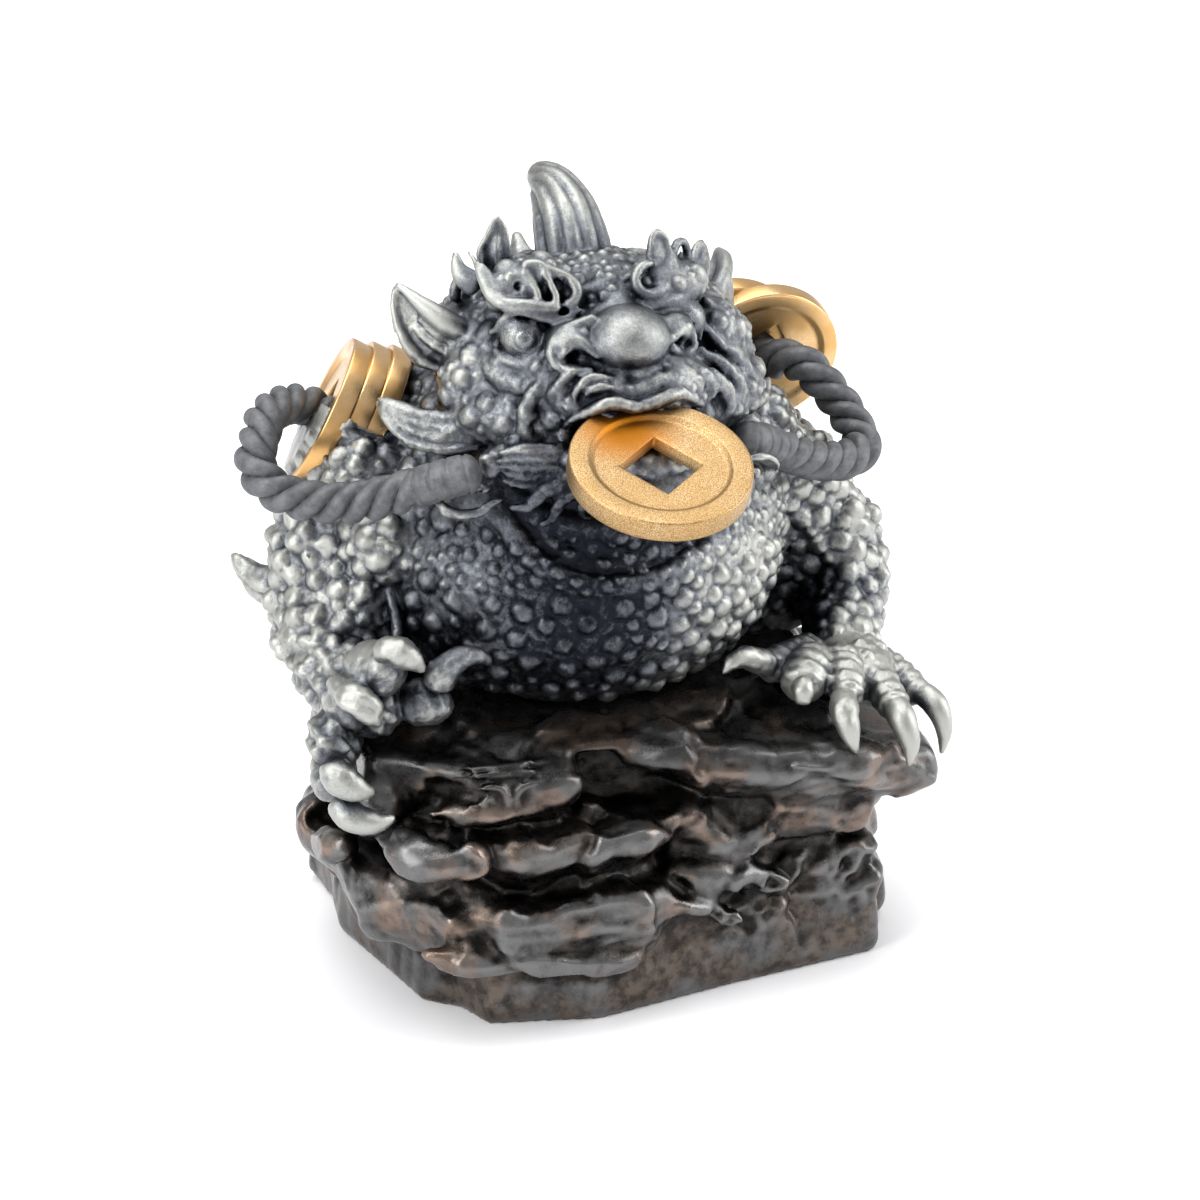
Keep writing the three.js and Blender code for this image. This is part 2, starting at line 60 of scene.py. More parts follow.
# How far every point is kept inside the solid's box, in mm.
KEPT_INSIDE = 0.02
ROCK_DARK = "#141312"
ROCK_BROWN = "#332f2c"
ROCK_COPPER = "#7f6e63"
# Painted grey sheen, which stands for highlights on the open edges.
ROCK_PAINTED_SHEEN = "#686868"
# Near black of the creases: patina, and painted shade where little of the room is seen.
ROCK_CREASE_PATINA_AND_SHADE = "#080707"
# Darker colour for the top layers, under the toad.
ROCK_TOP_DARK = "#0b0a0a"
FOOT_DARK = "#3a3430"
FOOT_BROWN = "#60574f"
SLABS = (
    dict(at=(0, 0), z=(0, 20), lean=0.97, seed=1, chords=(
        (-80, 35.2), (-102, 37.8), (-145, 39), (-168, 35.6), (178, 37.2), (135, 43), (90, 40),
        (45, 50), (0, 45.5), (-22, 48.3))),
    dict(at=(-16, -8), z=(10.5, 22), lean=0.9, seed=2, chords=(
        (-90, 34), (-122, 33), (-150, 27.5), (180, 24.5), (-58, 37), (-20, 36), (90, 22))),
    dict(at=(-22, 0), z=(13.5, 22.6), lean=0.86, seed=3, tilt=(-0.04, 0), chords=(
        (197, 22), (-125, 29.5), (-90, 33), (150, 19), (90, 24), (0, 20))),
    dict(at=(0, 2), z=(17, 41), lean=1, chords=(
        (-90, 31), (-130, 35), (180, 36), (135, 42), (90, 37), (45, 44), (0, 40), (-40, 44))),
    dict(at=(-16, -10), z=(26, 32.5), lean=0.9, seed=5, tilt=(0.02, 0.02), chords=(
        (-90, 30.5), (-128, 27), (180, 22.5), (-62, 34), (-10, 30), (90, 25))),
    dict(at=(22, -6), z=(22, 31), lean=0.93, seed=6, chords=(
        (-88, 27), (-35, 28), (0, 22.5), (180, 30), (90, 30), (-125, 33))),
    dict(at=(-19, -8), z=(33, 43), lean=0.9, seed=7, tilt=(0, 0.05), chords=(
        (-92, 28.5), (-130, 25), (180, 20), (-50, 26), (-10, 13), (90, 28))),
    dict(at=(22, -6), z=(31, 41.4), lean=0.82, seed=8, tilt=(-0.2, 0.03), chords=(
        (-92, 32), (-70, 34.6), (-8, 29.2), (35, 30), (180, 23), (-130, 33), (90, 30))),
    dict(at=(2, 8), z=(34, 45), lean=0.96, seed=9, tilt=(0, 0.02), chords=(
        (-90, 34), (-128, 36), (180, 35), (140, 37), (90, 32), (40, 36), (0, 34), (-50, 37))),
    # Thin steps of the topmost layers, below the belly.
    dict(at=(-8, 0), z=(41.6, 43.4), lean=0.97, seed=12, chords=(
        (-90, 32.5), (-125, 33), (180, 26), (-55, 33), (0, 26), (90, 20))),
    dict(at=(-6, 0), z=(43.2, 44.6), lean=0.97, seed=13, chords=(
        (-90, 30), (-125, 31), (180, 26), (-60, 31), (0, 26), (90, 20))),
)
# Rounded runs of stone: spine, radii, options if there are any.
STONE_RUNS = (
    # Spout, and the lumps that carry on from it along the same ledge.
    (((-37.5, -30, 31.5), (-34, -36, 30.4), (-29, -37.6, 30), (-25, -37, 29.6)), (2.6, 3.4, 3.1, 2.2)),
    (((-24, -35.6, 28.6), (-18, -37.6, 28.2), (-12, -37.4, 27.6), (-6, -36.4, 28.6), (0, -34.6, 30)),
     (1.6, 2.2, 1.7, 2.3, 1.6)),
    # Rounded nose of the scrolled ledge, and its rolled lower edge.
    (((-24, -30, 38), (-15, -33, 38), (-9.6, -32, 38)), (3.8, 4.4, 3.8), dict(flat=0.95)),
    (((-33, -32, 36), (-24, -35.6, 35.6), (-14, -34.6, 35.4)), (1.4, 1.8, 1.5)),
    # Worn lower lip of the second ledge.
    (((-36, -36.4, 15.6), (-29, -39.4, 14.2), (-22, -40.4, 13), (-14, -40.6, 12), (-6, -40.2, 11),
      (-1, -38.6, 11)),
     (1.6, 2.1, 1.8, 1.9, 2.1, 1.4)),
    # Ridge that slopes down from that ledge to the foot.
    (((-16, -39.4, 21), (-6, -39.2, 20.4), (2, -38, 18), (9, -36.4, 15.4), (16, -35, 12)),
     (1.6, 1.9, 2.1, 2.3, 1.6)),
    (((4, -33.4, 21.4), (10, -34.2, 19.8), (17, -33.8, 18.6), (24, -31.8, 15.6)), (2, 2.7, 2.5, 1.6)),
    # Worn stone in the deep joint between the second and third layers.
    (((-34, -26, 24), (-26, -31, 24), (-16, -33.4, 24.2), (-6, -33, 23.8), (3, -31.6, 23)),
     (2.6, 3, 2.6, 3, 2.4)),
    # Broken stone that bridges the joints.
    (((-14, -32.6, 31), (-9, -34, 27), (-5, -34, 22)), (2.2, 2.8, 2)),
    (((6, -31, 29), (11, -32.6, 26), (17, -33, 21.4)), (2.2, 2.6, 2)),
    (((-28, -32.6, 25), (-25, -35, 21.6), (-22, -36.4, 18)), (2.2, 2.6, 2)),
    # Bulge under the right-hand ledge, and that ledge's drooping tip.
    (((8, -31, 24.4), (15, -32, 23.6), (22, -31, 24.6)), (2.2, 2.9, 2.2)),
    (((26, -34, 33), (36, -33.4, 31.6), (44, -31, 32)), (2, 2, 1.6)),
    # Corner under the toad's right paw, and the mound beside it.
    (((-40, -20, 26), (-42.4, -16, 24.6), (-42.4, -9, 23.4)), (2.4, 2.6, 2)),
    (((-36, -27, 38), (-38, -24, 34), (-38, -22, 30)), (4.4, 4.2, 3.4)),
    (((-3, -30.6, 40), (4, -34, 40.4), (10, -34, 39.6)), (1.6, 1.9, 1.4)),
)
# Thin scrolls and chisel lines standing on the ledges: spine, radius.
STONE_LINES = (
    (((-28, -35.6, 40.2), (-23.4, -36.4, 40.4), (-21.6, -36.5, 39), (-21.6, -36.5, 37),
      (-23.4, -36.4, 35.6)), 0.42),
    (((-13.4, -35.2, 40.2), (-18, -36.4, 40.2), (-19.8, -36.4, 39), (-20, -36.4, 37.2),
      (-19, -36.4, 36.2)), 0.42),
    (((-23.4, -36.4, 37.6), (-24.2, -36.3, 38.8), (-25, -36.2, 38), (-24.4, -36.2, 36.8)), 0.34),
    (((-26, -36, 36.4), (-26.6, -35.8, 37.6), (-27.6, -35.6, 36.8)), 0.34),
    (((-31, -33.6, 41.4), (-22, -35.2, 41.8), (-13, -34, 40.8)), 0.4),
    (((-30, -32.6, 42.2), (-21, -34, 42.6), (-13, -32.6, 41.8)), 0.4),
    (((22, -37.8, 38.2), (28, -37.6, 36.6), (37, -35.6, 34.6), (45, -33, 33.6)), 0.55),
)


def trail(points, count=64):
    """Evenly spaced points on a smooth curve through the given ones."""
    p = np.array(points, float)
    if len(p) < 3:
        return np.linspace(p[0], p[-1], count)
    p = np.vstack([2 * p[0] - p[1], p, 2 * p[-1] - p[-2]])
    t = np.linspace(0, 1, 24)[:, None]
    pieces = []
    for a, b, c, d in zip(p, p[1:], p[2:], p[3:]):
        curve = 2 * b + (c - a) * t + (2 * a - 5 * b + 4 * c - d) * t**2 + (3 * b - a - 3 * c + d) * t**3
        pieces.append(0.5 * curve)
    dense = np.vstack(pieces)
    steps = np.r_[0, np.cumsum(np.linalg.norm(np.diff(dense, axis=0), axis=1))]
    at = np.linspace(0, steps[-1], count)
    return np.stack([np.interp(at, steps, dense[:, k]) for k in range(3)], axis=1)


def unit(v):
    return v / np.maximum(np.linalg.norm(v, axis=-1, keepdims=True), 1e-9)


def carried_frame(path):
    """Tangents of a path and a side direction carried along it without twist."""
    tangent = unit(np.gradient(path, axis=0))
    side = np.array((0.31, 0.83, 0.46))
    sides = []
    for t in tangent:
        side = unit(side - side.dot(t) * t)
        sides.append(side)
    return tangent, np.array(sides)


def unit_ball(sides, rings, made={}):
    """Points and faces of a ball of radius 1, its poles on Z."""
    if (sides, rings) not in made:
        bm = bmesh.new()
        bmesh.ops.create_uvsphere(bm, u_segments=sides, v_segments=rings, radius=1)
        bm.verts.index_update()
        faces = [[v.index for v in face.verts] for face in bm.faces]
        made[sides, rings] = (np.array([v.co for v in bm.verts]), faces)
        bm.free()
    return made[sides, rings]


def limb(forms, spine, radii, sides=16, rings=24, flat=1, facing=None, flutes=0, depth=0.2, ribs=0,
         rib=0.07):
    """Adds a round-ended limb along a smooth spine. flat squeezes it along facing, flutes groove it
    lengthwise, and ribs ring it with rounded wrinkles."""
    ball_points, faces = unit_ball(sides, rings)
    path = trail(spine)
    tangent, side = carried_frame(path)
    if facing is not None:
        face = np.array(facing, float)
        side = unit(face - (tangent @ face)[:, None] * tangent)
    t = np.arccos(np.clip(ball_points[:, 2], -1, 1)) / math.pi
    angle = np.arctan2(ball_points[:, 1], ball_points[:, 0])
    at = t * (len(path) - 1)
    stations = np.arange(len(path))

    def read(values):
        return np.stack([np.interp(at, stations, values[:, k]) for k in range(3)], axis=1)

    centre, along, n = read(path), unit(read(tangent)), unit(read(side))
    length = np.linalg.norm(np.diff(path, axis=0), axis=1).sum()
    r = np.interp(t, np.linspace(0, 1, len(radii)), radii)
    cap = np.minimum(1, np.minimum(t, 1 - t) * length / np.maximum(r * 0.7, 0.01))
    size = r * np.sqrt(np.maximum(0, 1 - (1 - cap) ** 2))
    if flutes:
        size *= 1 - depth * np.exp(-(np.sin(angle * flutes / 2) / 0.36) ** 2)
    if ribs:
        size *= 1 + rib * (np.abs(np.sin(math.pi * ribs * t)) - 0.6)
    b = np.cross(n, along)
    points = centre + n * (np.cos(angle) * size * flat)[:, None] + b * (np.sin(angle) * size)[:, None]
    forms.append((points, faces))


def outline(chords, seed):
    """Corners where neighbouring chords [direction, distance] cross, with knocked-in points between."""
    ring = []
    for degrees, distance in sorted(chords, key=lambda c: c[0] % 360):
        a = math.radians(degrees)
        ring.append((math.cos(a), math.sin(a), distance))
    corners = []
    for (x0, y0, d0), (x1, y1, d1) in zip(ring, ring[1:] + ring[:1]):
        det = x0 * y1 - x1 * y0
        corners.append(((d0 * y1 - d1 * y0) / det, (x0 * d1 - x1 * d0) / det))
    knocked = []
    for i, ((x, y), (u, v)) in enumerate(zip(corners, corners[1:] + corners[:1])):
        k = 1 - 0.045 * (math.sin((seed * 31 + i) * 127.1 + 311.7) * 43758.5453 % 1) if seed else 1
        knocked += [(x, y), ((x + u) * 0.5 * k, (y + v) * 0.5 * k)]
    return knocked


def slab(forms, at, z, chords, tilt=(0, 0), lean=0.93, seed=0):
    """Adds a stone slab standing on its outline, undercut by lean and tilted by rises per mm."""
    rim = outline(chords, seed)
    rows = ((lean if z[0] else 1, z[0]), (1, (z[0] + z[1]) / 2), (0.985, z[1] - 1), (0.95, z[1]))
    points = []
    for r, h in rows:
        level = 0 if h == 0 else 1
        for x, y in rim:
            points.append((at[0] + x * r, at[1] + y * r, h + level * (tilt[0] * x + tilt[1] * y) * r))
    n = len(rim)
    faces = [list(range(n))[::-1], list(range(3 * n, 4 * n))]
    for row in range(3):
        for i in range(n):
            j = (i + 1) % n
            faces.append([row * n + i, row * n + j, row * n + n + j, row * n + n + i])
    forms.append((np.array(points), faces))


def joined(forms, name, onto=None):
    """One mesh of all the forms, laid onto an earlier mesh if there is one."""
    points = np.vstack([p for p, _ in forms])
    faces = []
    start = 0
    for p, own in forms:
        faces += [[i + start for i in face] for face in own]
        start += len(p)
    mesh = bpy.data.meshes.new(name)
    mesh.from_pydata(points, [], faces)
    if onto:
        bm = bmesh.new()
        bm.from_mesh(onto)
        bm.from_mesh(mesh)
        bm.to_mesh(mesh)
        bm.free()
    return mesh


def modified(mesh, kind, **settings):
    """The mesh after one modifier."""
    holder = bpy.data.objects.new("holder", mesh)
    bpy.context.scene.collection.objects.link(holder)
    modifier = holder.modifiers.new("shape", kind)
    for key, value in settings.items():
        setattr(modifier, key, value)
    result = bpy.data.meshes.new_from_object(holder.evaluated_get(bpy.context.evaluated_depsgraph_get()))
    bpy.data.objects.remove(holder)
    return result


def points_of(mesh):
    values = np.empty(len(mesh.vertices) * 3, np.float32)
    mesh.vertices.foreach_get("co", values)
    return values.reshape(-1, 3).astype(float)


def normals_of(mesh):
    values = np.empty(len(mesh.vertices) * 3, np.float32)
    mesh.vertex_normals.foreach_get("vector", values)
    return values.reshape(-1, 3).astype(float)


def move_points(mesh, points):
    mesh.vertices.foreach_set("co", points.astype(np.float32).ravel())
    mesh.update()


def averaged(mesh, values, rounds):
    """Values spread over neighbouring points, round after round."""
    pairs = np.empty(len(mesh.edges) * 2, np.int32)
    mesh.edges.foreach_get("vertices", pairs)
    a, b = pairs[0::2], pairs[1::2]
    n = len(mesh.vertices)
    share = 0.5 / np.maximum(np.bincount(pairs, minlength=n), 1)
    for _ in range(rounds):
        columns = []
        for k in range(values.shape[1]):
            v = values[:, k]
            total = np.bincount(a, v[b], n) + np.bincount(b, v[a], n)
            columns.append(0.5 * v + share * total)
        values = np.stack(columns, axis=1)
    return values


def hollowness(mesh, rounds):
    """How far each point lies below its smoothed surroundings, in mm."""
    points, normals = points_of(mesh), normals_of(mesh)
    return np.einsum("ij,ij->i", averaged(mesh, points, rounds) - points, normals)


def tree_of(points):
    tree = KDTree(len(points))
    for i, p in enumerate(points):
        tree.insert(p, i)
    tree.balance()
    return tree


def add_attribute(mesh, name, values):
    layer = mesh.attributes.new(name, "FLOAT", "POINT")
    layer.data.foreach_set("value", values.astype(np.float32))


def openness(mesh, reach):
    """Share of the directions around each point that meet nothing within reach, in mm."""
    points, normals = points_of(mesh), normals_of(mesh)
    tree = BVHTree.FromPolygons([Vector(p) for p in points], [tuple(f.vertices) for f in mesh.polygons])
    golden = math.pi * (3 - math.sqrt(5))
    rays = []
    for i in range(SKY_RAYS):
        h = 1 - (2 * i + 1) / SKY_RAYS
        out = math.sqrt(1 - h * h)
        rays.append(Vector((math.cos(golden * i) * out, math.sin(golden * i) * out, h)))
    share = np.empty(len(points))
    for i, (p, n) in enumerate(zip(points, normals)):
        n = Vector(n)
        start = Vector(p) + n * 0.05
        free = total = 0
        for ray in rays:
            facing = ray.dot(n)
            weight = abs(facing)
            total += weight
            if tree.ray_cast(start, ray if facing > 0 else -ray, reach)[0] is None:
                free += weight
        share[i] = free / total if total else 1
    return averaged(mesh, share[:, None], 3)[:, 0]


def thinned(mesh, faces, name, **attributes):
    """The mesh with its flatter parts in larger triangles, carrying attributes given per point."""
    tree = tree_of(points_of(mesh))
    triangles = sum(len(p.vertices) - 2 for p in mesh.polygons)
    small = modified(mesh, "DECIMATE", ratio=min(1, faces / triangles))
    small.name = name
    nearest = [tree.find(v.co)[1] for v in small.vertices]
    for key, values in attributes.items():
        add_attribute(small, key, values[nearest])
    return small


def finished(mesh, material, name):
    """A piece in metres, smooth shaded, with its material."""
    mesh.transform(Matrix.Scale(0.001, 4))
    mesh.shade_smooth()
    mesh.materials.append(material)
    piece = bpy.data.objects.new(name, mesh)
    bpy.context.scene.collection.objects.link(piece)
    return piece


def linear(colour):
    """An sRGB hex colour as linear RGBA."""
    parts = [int(colour[i:i + 2], 16) / 255 for i in (1, 3, 5)]
    return (*(c / 12.92 if c <= 0.04045 else ((c + 0.055) / 1.055) ** 2.4 for c in parts), 1)


def node(tree, kind, settings=None, **inputs):
    """Adds a shader node. Inputs are values or sockets of other nodes; _0 names an input by number."""
    new = tree.nodes.new("ShaderNode" + kind)
    for key, value in (settings or {}).items():
        setattr(new, key, value)
    for key, value in inputs.items():
        socket = new.inputs[int(key[1:])] if key[0] == "_" else new.inputs[key.replace("_", " ")]
        if isinstance(value, bpy.types.NodeSocket):
            tree.links.new(value, socket)
        else:
            socket.default_value = value
    return new


def blank_material(name):
    material = bpy.data.materials.new(name)
    material.use_nodes = True
    tree = material.node_tree
    tree.nodes.clear()
    return material, tree


def ramp(tree, value, low, high):
    """0 below low, 1 above high."""
    settings = dict(interpolation_type="SMOOTHSTEP")
    return node(tree, "MapRange", settings, Value=value, From_Min=low, From_Max=high).outputs[0]


def spread(tree, value, first, last, low=0.3, high=0.7):
    """Runs evenly from first, where the value is low, to last, where it is high."""
    inputs = dict(Value=value, From_Min=low, From_Max=high, To_Min=first, To_Max=last)
    return node(tree, "MapRange", **inputs).outputs[0]


def plus(tree, total, value, share):
    """The total plus a share of the value."""
    return node(tree, "Math", dict(operation="MULTIPLY_ADD"), _0=value, _1=share, _2=total).outputs[0]


def times(tree, a, b):
    return node(tree, "Math", dict(operation="MULTIPLY"), _0=a, _1=b).outputs[0]


def painted(tree, name):
    """A value stored on the mesh."""
    return node(tree, "Attribute", dict(attribute_name=name)).outputs["Fac"]


def mixed(tree, factor, a, b):
    return node(tree, "Mix", dict(data_type="RGBA"), _0=factor, _6=a, _7=b).outputs[2]


def noise_at(tree, coordinates, per_mm, detail=4, rough=0.55):
    """Noise whose lumps are 1 / per_mm millimetres across."""
    inputs = dict(Vector=coordinates, Scale=per_mm * 1000, Detail=detail, Roughness=rough)
    return node(tree, "TexNoise", **inputs).outputs[0]


def finish_metal(tree, colour, roughness, metallic, height, strength, depth):
    """Joins the looks of a metal to the material's output, with a fine relief up to depth, in m."""
    bump = node(tree, "Bump", Height=height, Strength=strength, Distance=depth).outputs[0]
    inputs = dict(Base_Color=colour, Roughness=roughness, Normal=bump, Metallic=metallic)
    node(tree, "OutputMaterial", Surface=node(tree, "BsdfPrincipled", **inputs).outputs[0])


# Without a seed, the noise library takes its offsets from the clock.
noise.seed_set(3)
forms = []
for s in SLABS:
    slab(forms, **s)
for spine, radii, *options in STONE_RUNS:
    limb(forms, spine, radii, **dict(*options))
rock = modified(joined(forms, "stone"), "REMESH", mode="VOXEL", voxel_size=ROCK_VOXEL)
points = averaged(rock, points_of(rock), WEATHERING_ROUNDS)
move_points(rock, points)
normals = normals_of(rock)
x, y, z = points.T


def field(points, size, seed, octaves=4):
    """Smooth noise between about -1 and 1 with lumps of the given size in mm."""
    offset = Vector((seed * 17.3, seed * 5.1, seed * 9.7))
    return np.array([noise.fractal(Vector(p) / size + offset, 0.9, 2.1, octaves) for p in points])


def fade(v, low, high):
    s = np.clip((v - low) / (high - low), 0, 1)
    return s * s * (3 - 2 * s)


def chips(points, size, tilt, seed):
    """Flat facets: each cell of a random stone tiling is a plane of its own slope."""
    lift = np.empty(len(points))
    offset = Vector((seed * 3.7, seed * 7.1, seed * 1.9))
    for i, p in enumerate(points / size):
        p = Vector(p) + offset
        centre = noise.voronoi(p)[1][0]
        lift[i] = (p - centre).dot(noise.noise_vector(centre * 5.3)) * tilt
    return lift


# Chipped facets in two sizes, drawn out along the layers, soft upright folds near the foot, thin
# layers that show in places, and crinkles low on the front right.
drift = np.stack([field(points, 12, seed, 2) for seed in (31, 32, 33)], axis=1) * 2.6
flow = points + drift
facets = chips(flow, np.array(FACET_SIZE), FACET_TILT, 1) + chips(flow, np.array(CHIP_SIZE), CHIP_TILT, 2)
upright = np.abs(field(flow * (1, 1, 0.3), 6, 3, 3))
layers = np.sin(2 * math.pi * (z + 3 * field(points, 17, 2, 2)) / LAYER_HEIGHT)
crinkles = 0.5 - np.abs(field(points, 3.6, 4, 2)) * 2
sideways = 1 - fade(np.abs(normals[:, 2]), 0.55, 0.9)
patches = fade(field(points, 14, 5, 2), -0.05, 0.2) * fade(x, 6, 16) * (1 - fade(z, 17, 21))
foot = 1 - fade(z, 6, 10)
lift = facets * (1 - 0.7 * foot)
lift += 0.9 * upright * foot
lift += 0.14 * layers * fade(field(points, 13, 6, 2), -0.15, 0.2) * (1 - foot) * (0.4 + 0.6 * sideways)
lift += 1.2 * crinkles * patches
lift += 0.07 * field(points, 1.2, 7, 3) + 0.1
# The scrolled ledge keeps its own form, and the flat underside stays flat.
ledge = np.exp(-((x + 21) / 9) ** 2 - ((z - 38) / 4.4) ** 2) * fade(-y, 30, 34)
lift = lift * fade(z, 0.2, 2.5) * (1 - 0.85 * ledge)
points += normals * lift[:, None]
move_points(rock, averaged(rock, points, 2))

# The scrolls are laid on the roughened stone, so that they stay crisp.
forms = []
for spine, radius in STONE_LINES:
    limb(forms, spine, (radius * 0.6, radius, radius, radius * 0.6), sides=10, rings=30)
rock = modified(joined(forms, "stone", rock), "REMESH", mode="VOXEL", voxel_size=ROCK_VOXEL * 0.86)
points = averaged(rock, points_of(rock), 1)
low, high = (np.array(corner) * 1000 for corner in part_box("rock_base"))
points = np.clip(points, low + KEPT_INSIDE, high - KEPT_INSIDE)
points[:, 2] = np.where(points[:, 2] < 0.25, 0, points[:, 2])
move_points(rock, points)
hollow = 0.5 + 0.5 * np.tanh(hollowness(rock, 6) * 6)
rock_mesh = thinned(rock, ROCK_FACES, "rock_base_cast", hollow=hollow)
add_attribute(rock_mesh, "open", openness(rock_mesh, 10))

# Bronze-finished casting: near black in every crease, partly patina and partly painted shade where
# little of the room is seen, brown on the open faces, and rubbed to warm copper where hands and cloth
# reach, with a painted grey sheen for the highlights there, so the edges draw bright lines. The top
# layers are darker, and the foot is a mottled brown.
rock_finish, tree = blank_material("rubbed dark bronze")
place = node(tree, "TexCoord").outputs["Object"]
fine_hollow = painted(tree, "hollow")
open_sky = painted(tree, "open")
blotch = noise_at(tree, place, 0.09, 5, 0.6)
spots = noise_at(tree, place, 0.45, 4, 0.6)
grain = noise_at(tree, place, 3.2, 3, 0.6)
base = mixed(tree, ramp(tree, spots, 0.35, 0.7), linear(ROCK_DARK), linear(ROCK_BROWN))
# Open, rounded places are rubbed to copper, and the same mask paints highlights there as a grey sheen.
wear_and_highlight = plus(tree, plus(tree, open_sky, fine_hollow, -0.55), spots, 0.35)
copper_and_sheen = mixed(tree, ramp(tree, blotch, 0.47, 0.64), linear(ROCK_PAINTED_SHEEN), linear(ROCK_COPPER))
colour = mixed(tree, ramp(tree, wear_and_highlight, 0.66, 1.06), base, copper_and_sheen)
# Near black where little of the room is seen within 10 mm: patina, and painted shade.
colour = mixed(tree, ramp(tree, open_sky, 0.55, 0.2), colour, linear(ROCK_CREASE_PATINA_AND_SHADE))
height = node(tree, "SeparateXYZ", Vector=place).outputs[2]
# Darker towards the top, where the toad sits.
top_share = times(tree, ramp(tree, height, 0.035, 0.043), 0.62)
colour = mixed(tree, top_share, colour, linear(ROCK_TOP_DARK))
foot_tone = mixed(tree, ramp(tree, spots, 0.35, 0.65), linear(FOOT_DARK), linear(FOOT_BROWN))
foot_share = times(tree, ramp(tree, height, 0.018, 0.006), ramp(tree, blotch, 0.4, 0.62))
colour = mixed(tree, foot_share, colour, foot_tone)
finish_metal(tree, colour, spread(tree, spots, 0.2, 0.4), 0.85, grain, 0.35, 0.00012)

rock_piece = finished(rock_mesh, rock_finish, "rock_base_cast")
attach(rock_piece, "root")
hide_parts("rock_base")

# The toad: one hollow pewter casting from a hand-carved master, with every wart, lid, scroll and claw
# cut in. It is built as soft masses melted together, carved forms laid over them, and then warts.
MASS_VOXEL = 0.7
TOAD_VOXEL = 0.33
TOAD_FACES = 197000
ARM_KNOBS = 46
KNOB_RADIUS = 2.8
WART_TRIES = 26000
# The bare eyeballs, and the coins that press into the skin.
RIGHT_EYE = (-13.4, -19.6, 103.2)
LEFT_EYE = (11.2, -18.8, 102.6)
MOUTH_COIN_CENTRE = (0, -41.3, 88.3)
MOUTH_COIN_AXIS = (0, -0.37, 0.93)
RIGHT_STACK_AXIS = (-0.853, 0.224, 0.463)
PEWTER_DARK = "#14171e"
PEWTER_MID = "#63666b"
PEWTER_BRIGHT = "#a3a49f"
# Ellipsoids of the body and head: centre, radii.
MASSES = (
    ((0, 6, 66), (35, 33, 31)),
    ((-1, -8, 63), (30, 22.5, 21.5)),
    ((0, -15, 77), (23.5, 14.5, 12.5)),
    ((0, 28.2, 56), (16, 11.2, 13)),
    ((0, 8, 88), (21, 15, 11)),
    ((30, 13, 50.5), (14, 15, 14.5)),
    ((-26, 13, 54), (13.5, 15, 13)),
    ((0, -5, 97), (23.5, 17.5, 12.5)),
    ((1, -12, 90.5), (25, 16, 9.5)),
    ((0.5, -23, 95), (13.4, 9.6, 7)),
    ((1, -27.6, 86.6), (12.4, 8.8, 4.2)),
    # Crown and brow pads, cheeks, and the lump at the front of the right shoulder.
    ((0.7, -7, 106.4), (8, 7, 4)),
    ((0, -21, 104), (7, 5, 3.4)),
    ((-7.8, -24, 103), (4, 4, 3)),
    ((7.4, -22.8, 103.1), (4, 4, 2.4)),
    ((-14.6, -17, 97.8), (4.4, 4, 3)),
    # Base of the beard beside the right rope and of the folds beside the nose, and the inside of
    # the right forearm.
    ((-14.4, -24, 85.6), (7.6, 3, 3.2)),
    ((16.4, -14.8, 97.8), (5.6, 5, 6.6)),
    ((-11.4, -21.4, 98.8), (3.4, 3.2, 3.2)),
    ((-34.6, -5, 58), (5.2, 6, 8)),
    ((-0.4, -16.6, 106.8), (5.2, 4.4, 4.2)),
    ((-11.6, -16.6, 109.4), (7.2, 4.4, 4.4)),
    ((8.6, -17.4, 108), (7, 4.6, 3.8)),
    ((19.6, -10, 95), (5.4, 6, 6)),
    ((-19.2, -12, 94), (5, 5.4, 5.4)),
    ((-31.4, -7.4, 69), (6, 6, 6.4)),
    ((-33, 0, 79), (6.4, 6.6, 5.4)),
    ((29.4, 0, 79.2), (5.6, 6.2, 5)),
    ((35, 9, 45.5), (8.6, 9.5, 5)),
    # Palms.
    ((-37.6, -19.6, 49), (5.8, 7, 5.2)),
    ((38.4, -19.6, 44.4), (7, 8, 4.8)),
)
# Limbs that melt into the masses: spine, radii.
ARM_RIGHT = (((-28, 3, 78), (-34.2, 3.5, 70.5), (-37.6, 3, 60.5), (-39.8, -3, 53.5), (-38.6, -12, 48.5),
              (-36, -20, 46.5)),
             (10.6, 9.2, 7.8, 7, 6.6, 6.4))
ARM_LEFT = (((27, 3, 73.6), (36.4, 3, 64.8), (42.6, 2, 55.5), (43, -3, 49), (40.2, -11, 46),
             (38, -18, 44.6)),
            (9.4, 9.4, 8, 6.9, 6.2, 6))
SOFT_LIMBS = (
    ARM_RIGHT,
    ARM_LEFT,
    # Double chin folds, bridge of the nose, hind foot and its toes.
    (((-20, -20, 80.6), (-17.3, -23.6, 76.4), (-13.4, -26.6, 71), (-5.2, -28.6, 67.2), (4.7, -28.4, 67.4),
      (14, -25, 69.6),
      (20, -21, 74)), (1.6, 2.4, 2.7, 2.7, 2.5, 2.2, 1.4)),
    (((-15, -24, 80), (-9, -27, 76.4), (1, -28, 74.6), (11, -26.4, 76.6), (17, -22.6, 80)),
     (1.2, 2, 2.2, 2, 1.2)),
    (((0, -12, 106), (0, -18, 106), (0.2, -23, 104.6)), (4.2, 3.8, 3.8)),
    (((0, 27, 50), (3, 33, 49.4), (2, 34.4, 47)), (7, 5, 4.4)),
)
BACK_SPINE = dict(flutes=6, sides=36, depth=0.14, facing=(1, 0, 0))
ELBOW_SPIKE = dict(sides=56, rings=36, flutes=7, depth=0.32, facing=(0, 0, 1))
WRINKLED = dict(ribs=6, rib=0.18, rings=40)
RINGED = dict(ribs=6, rib=0.2, rings=40)
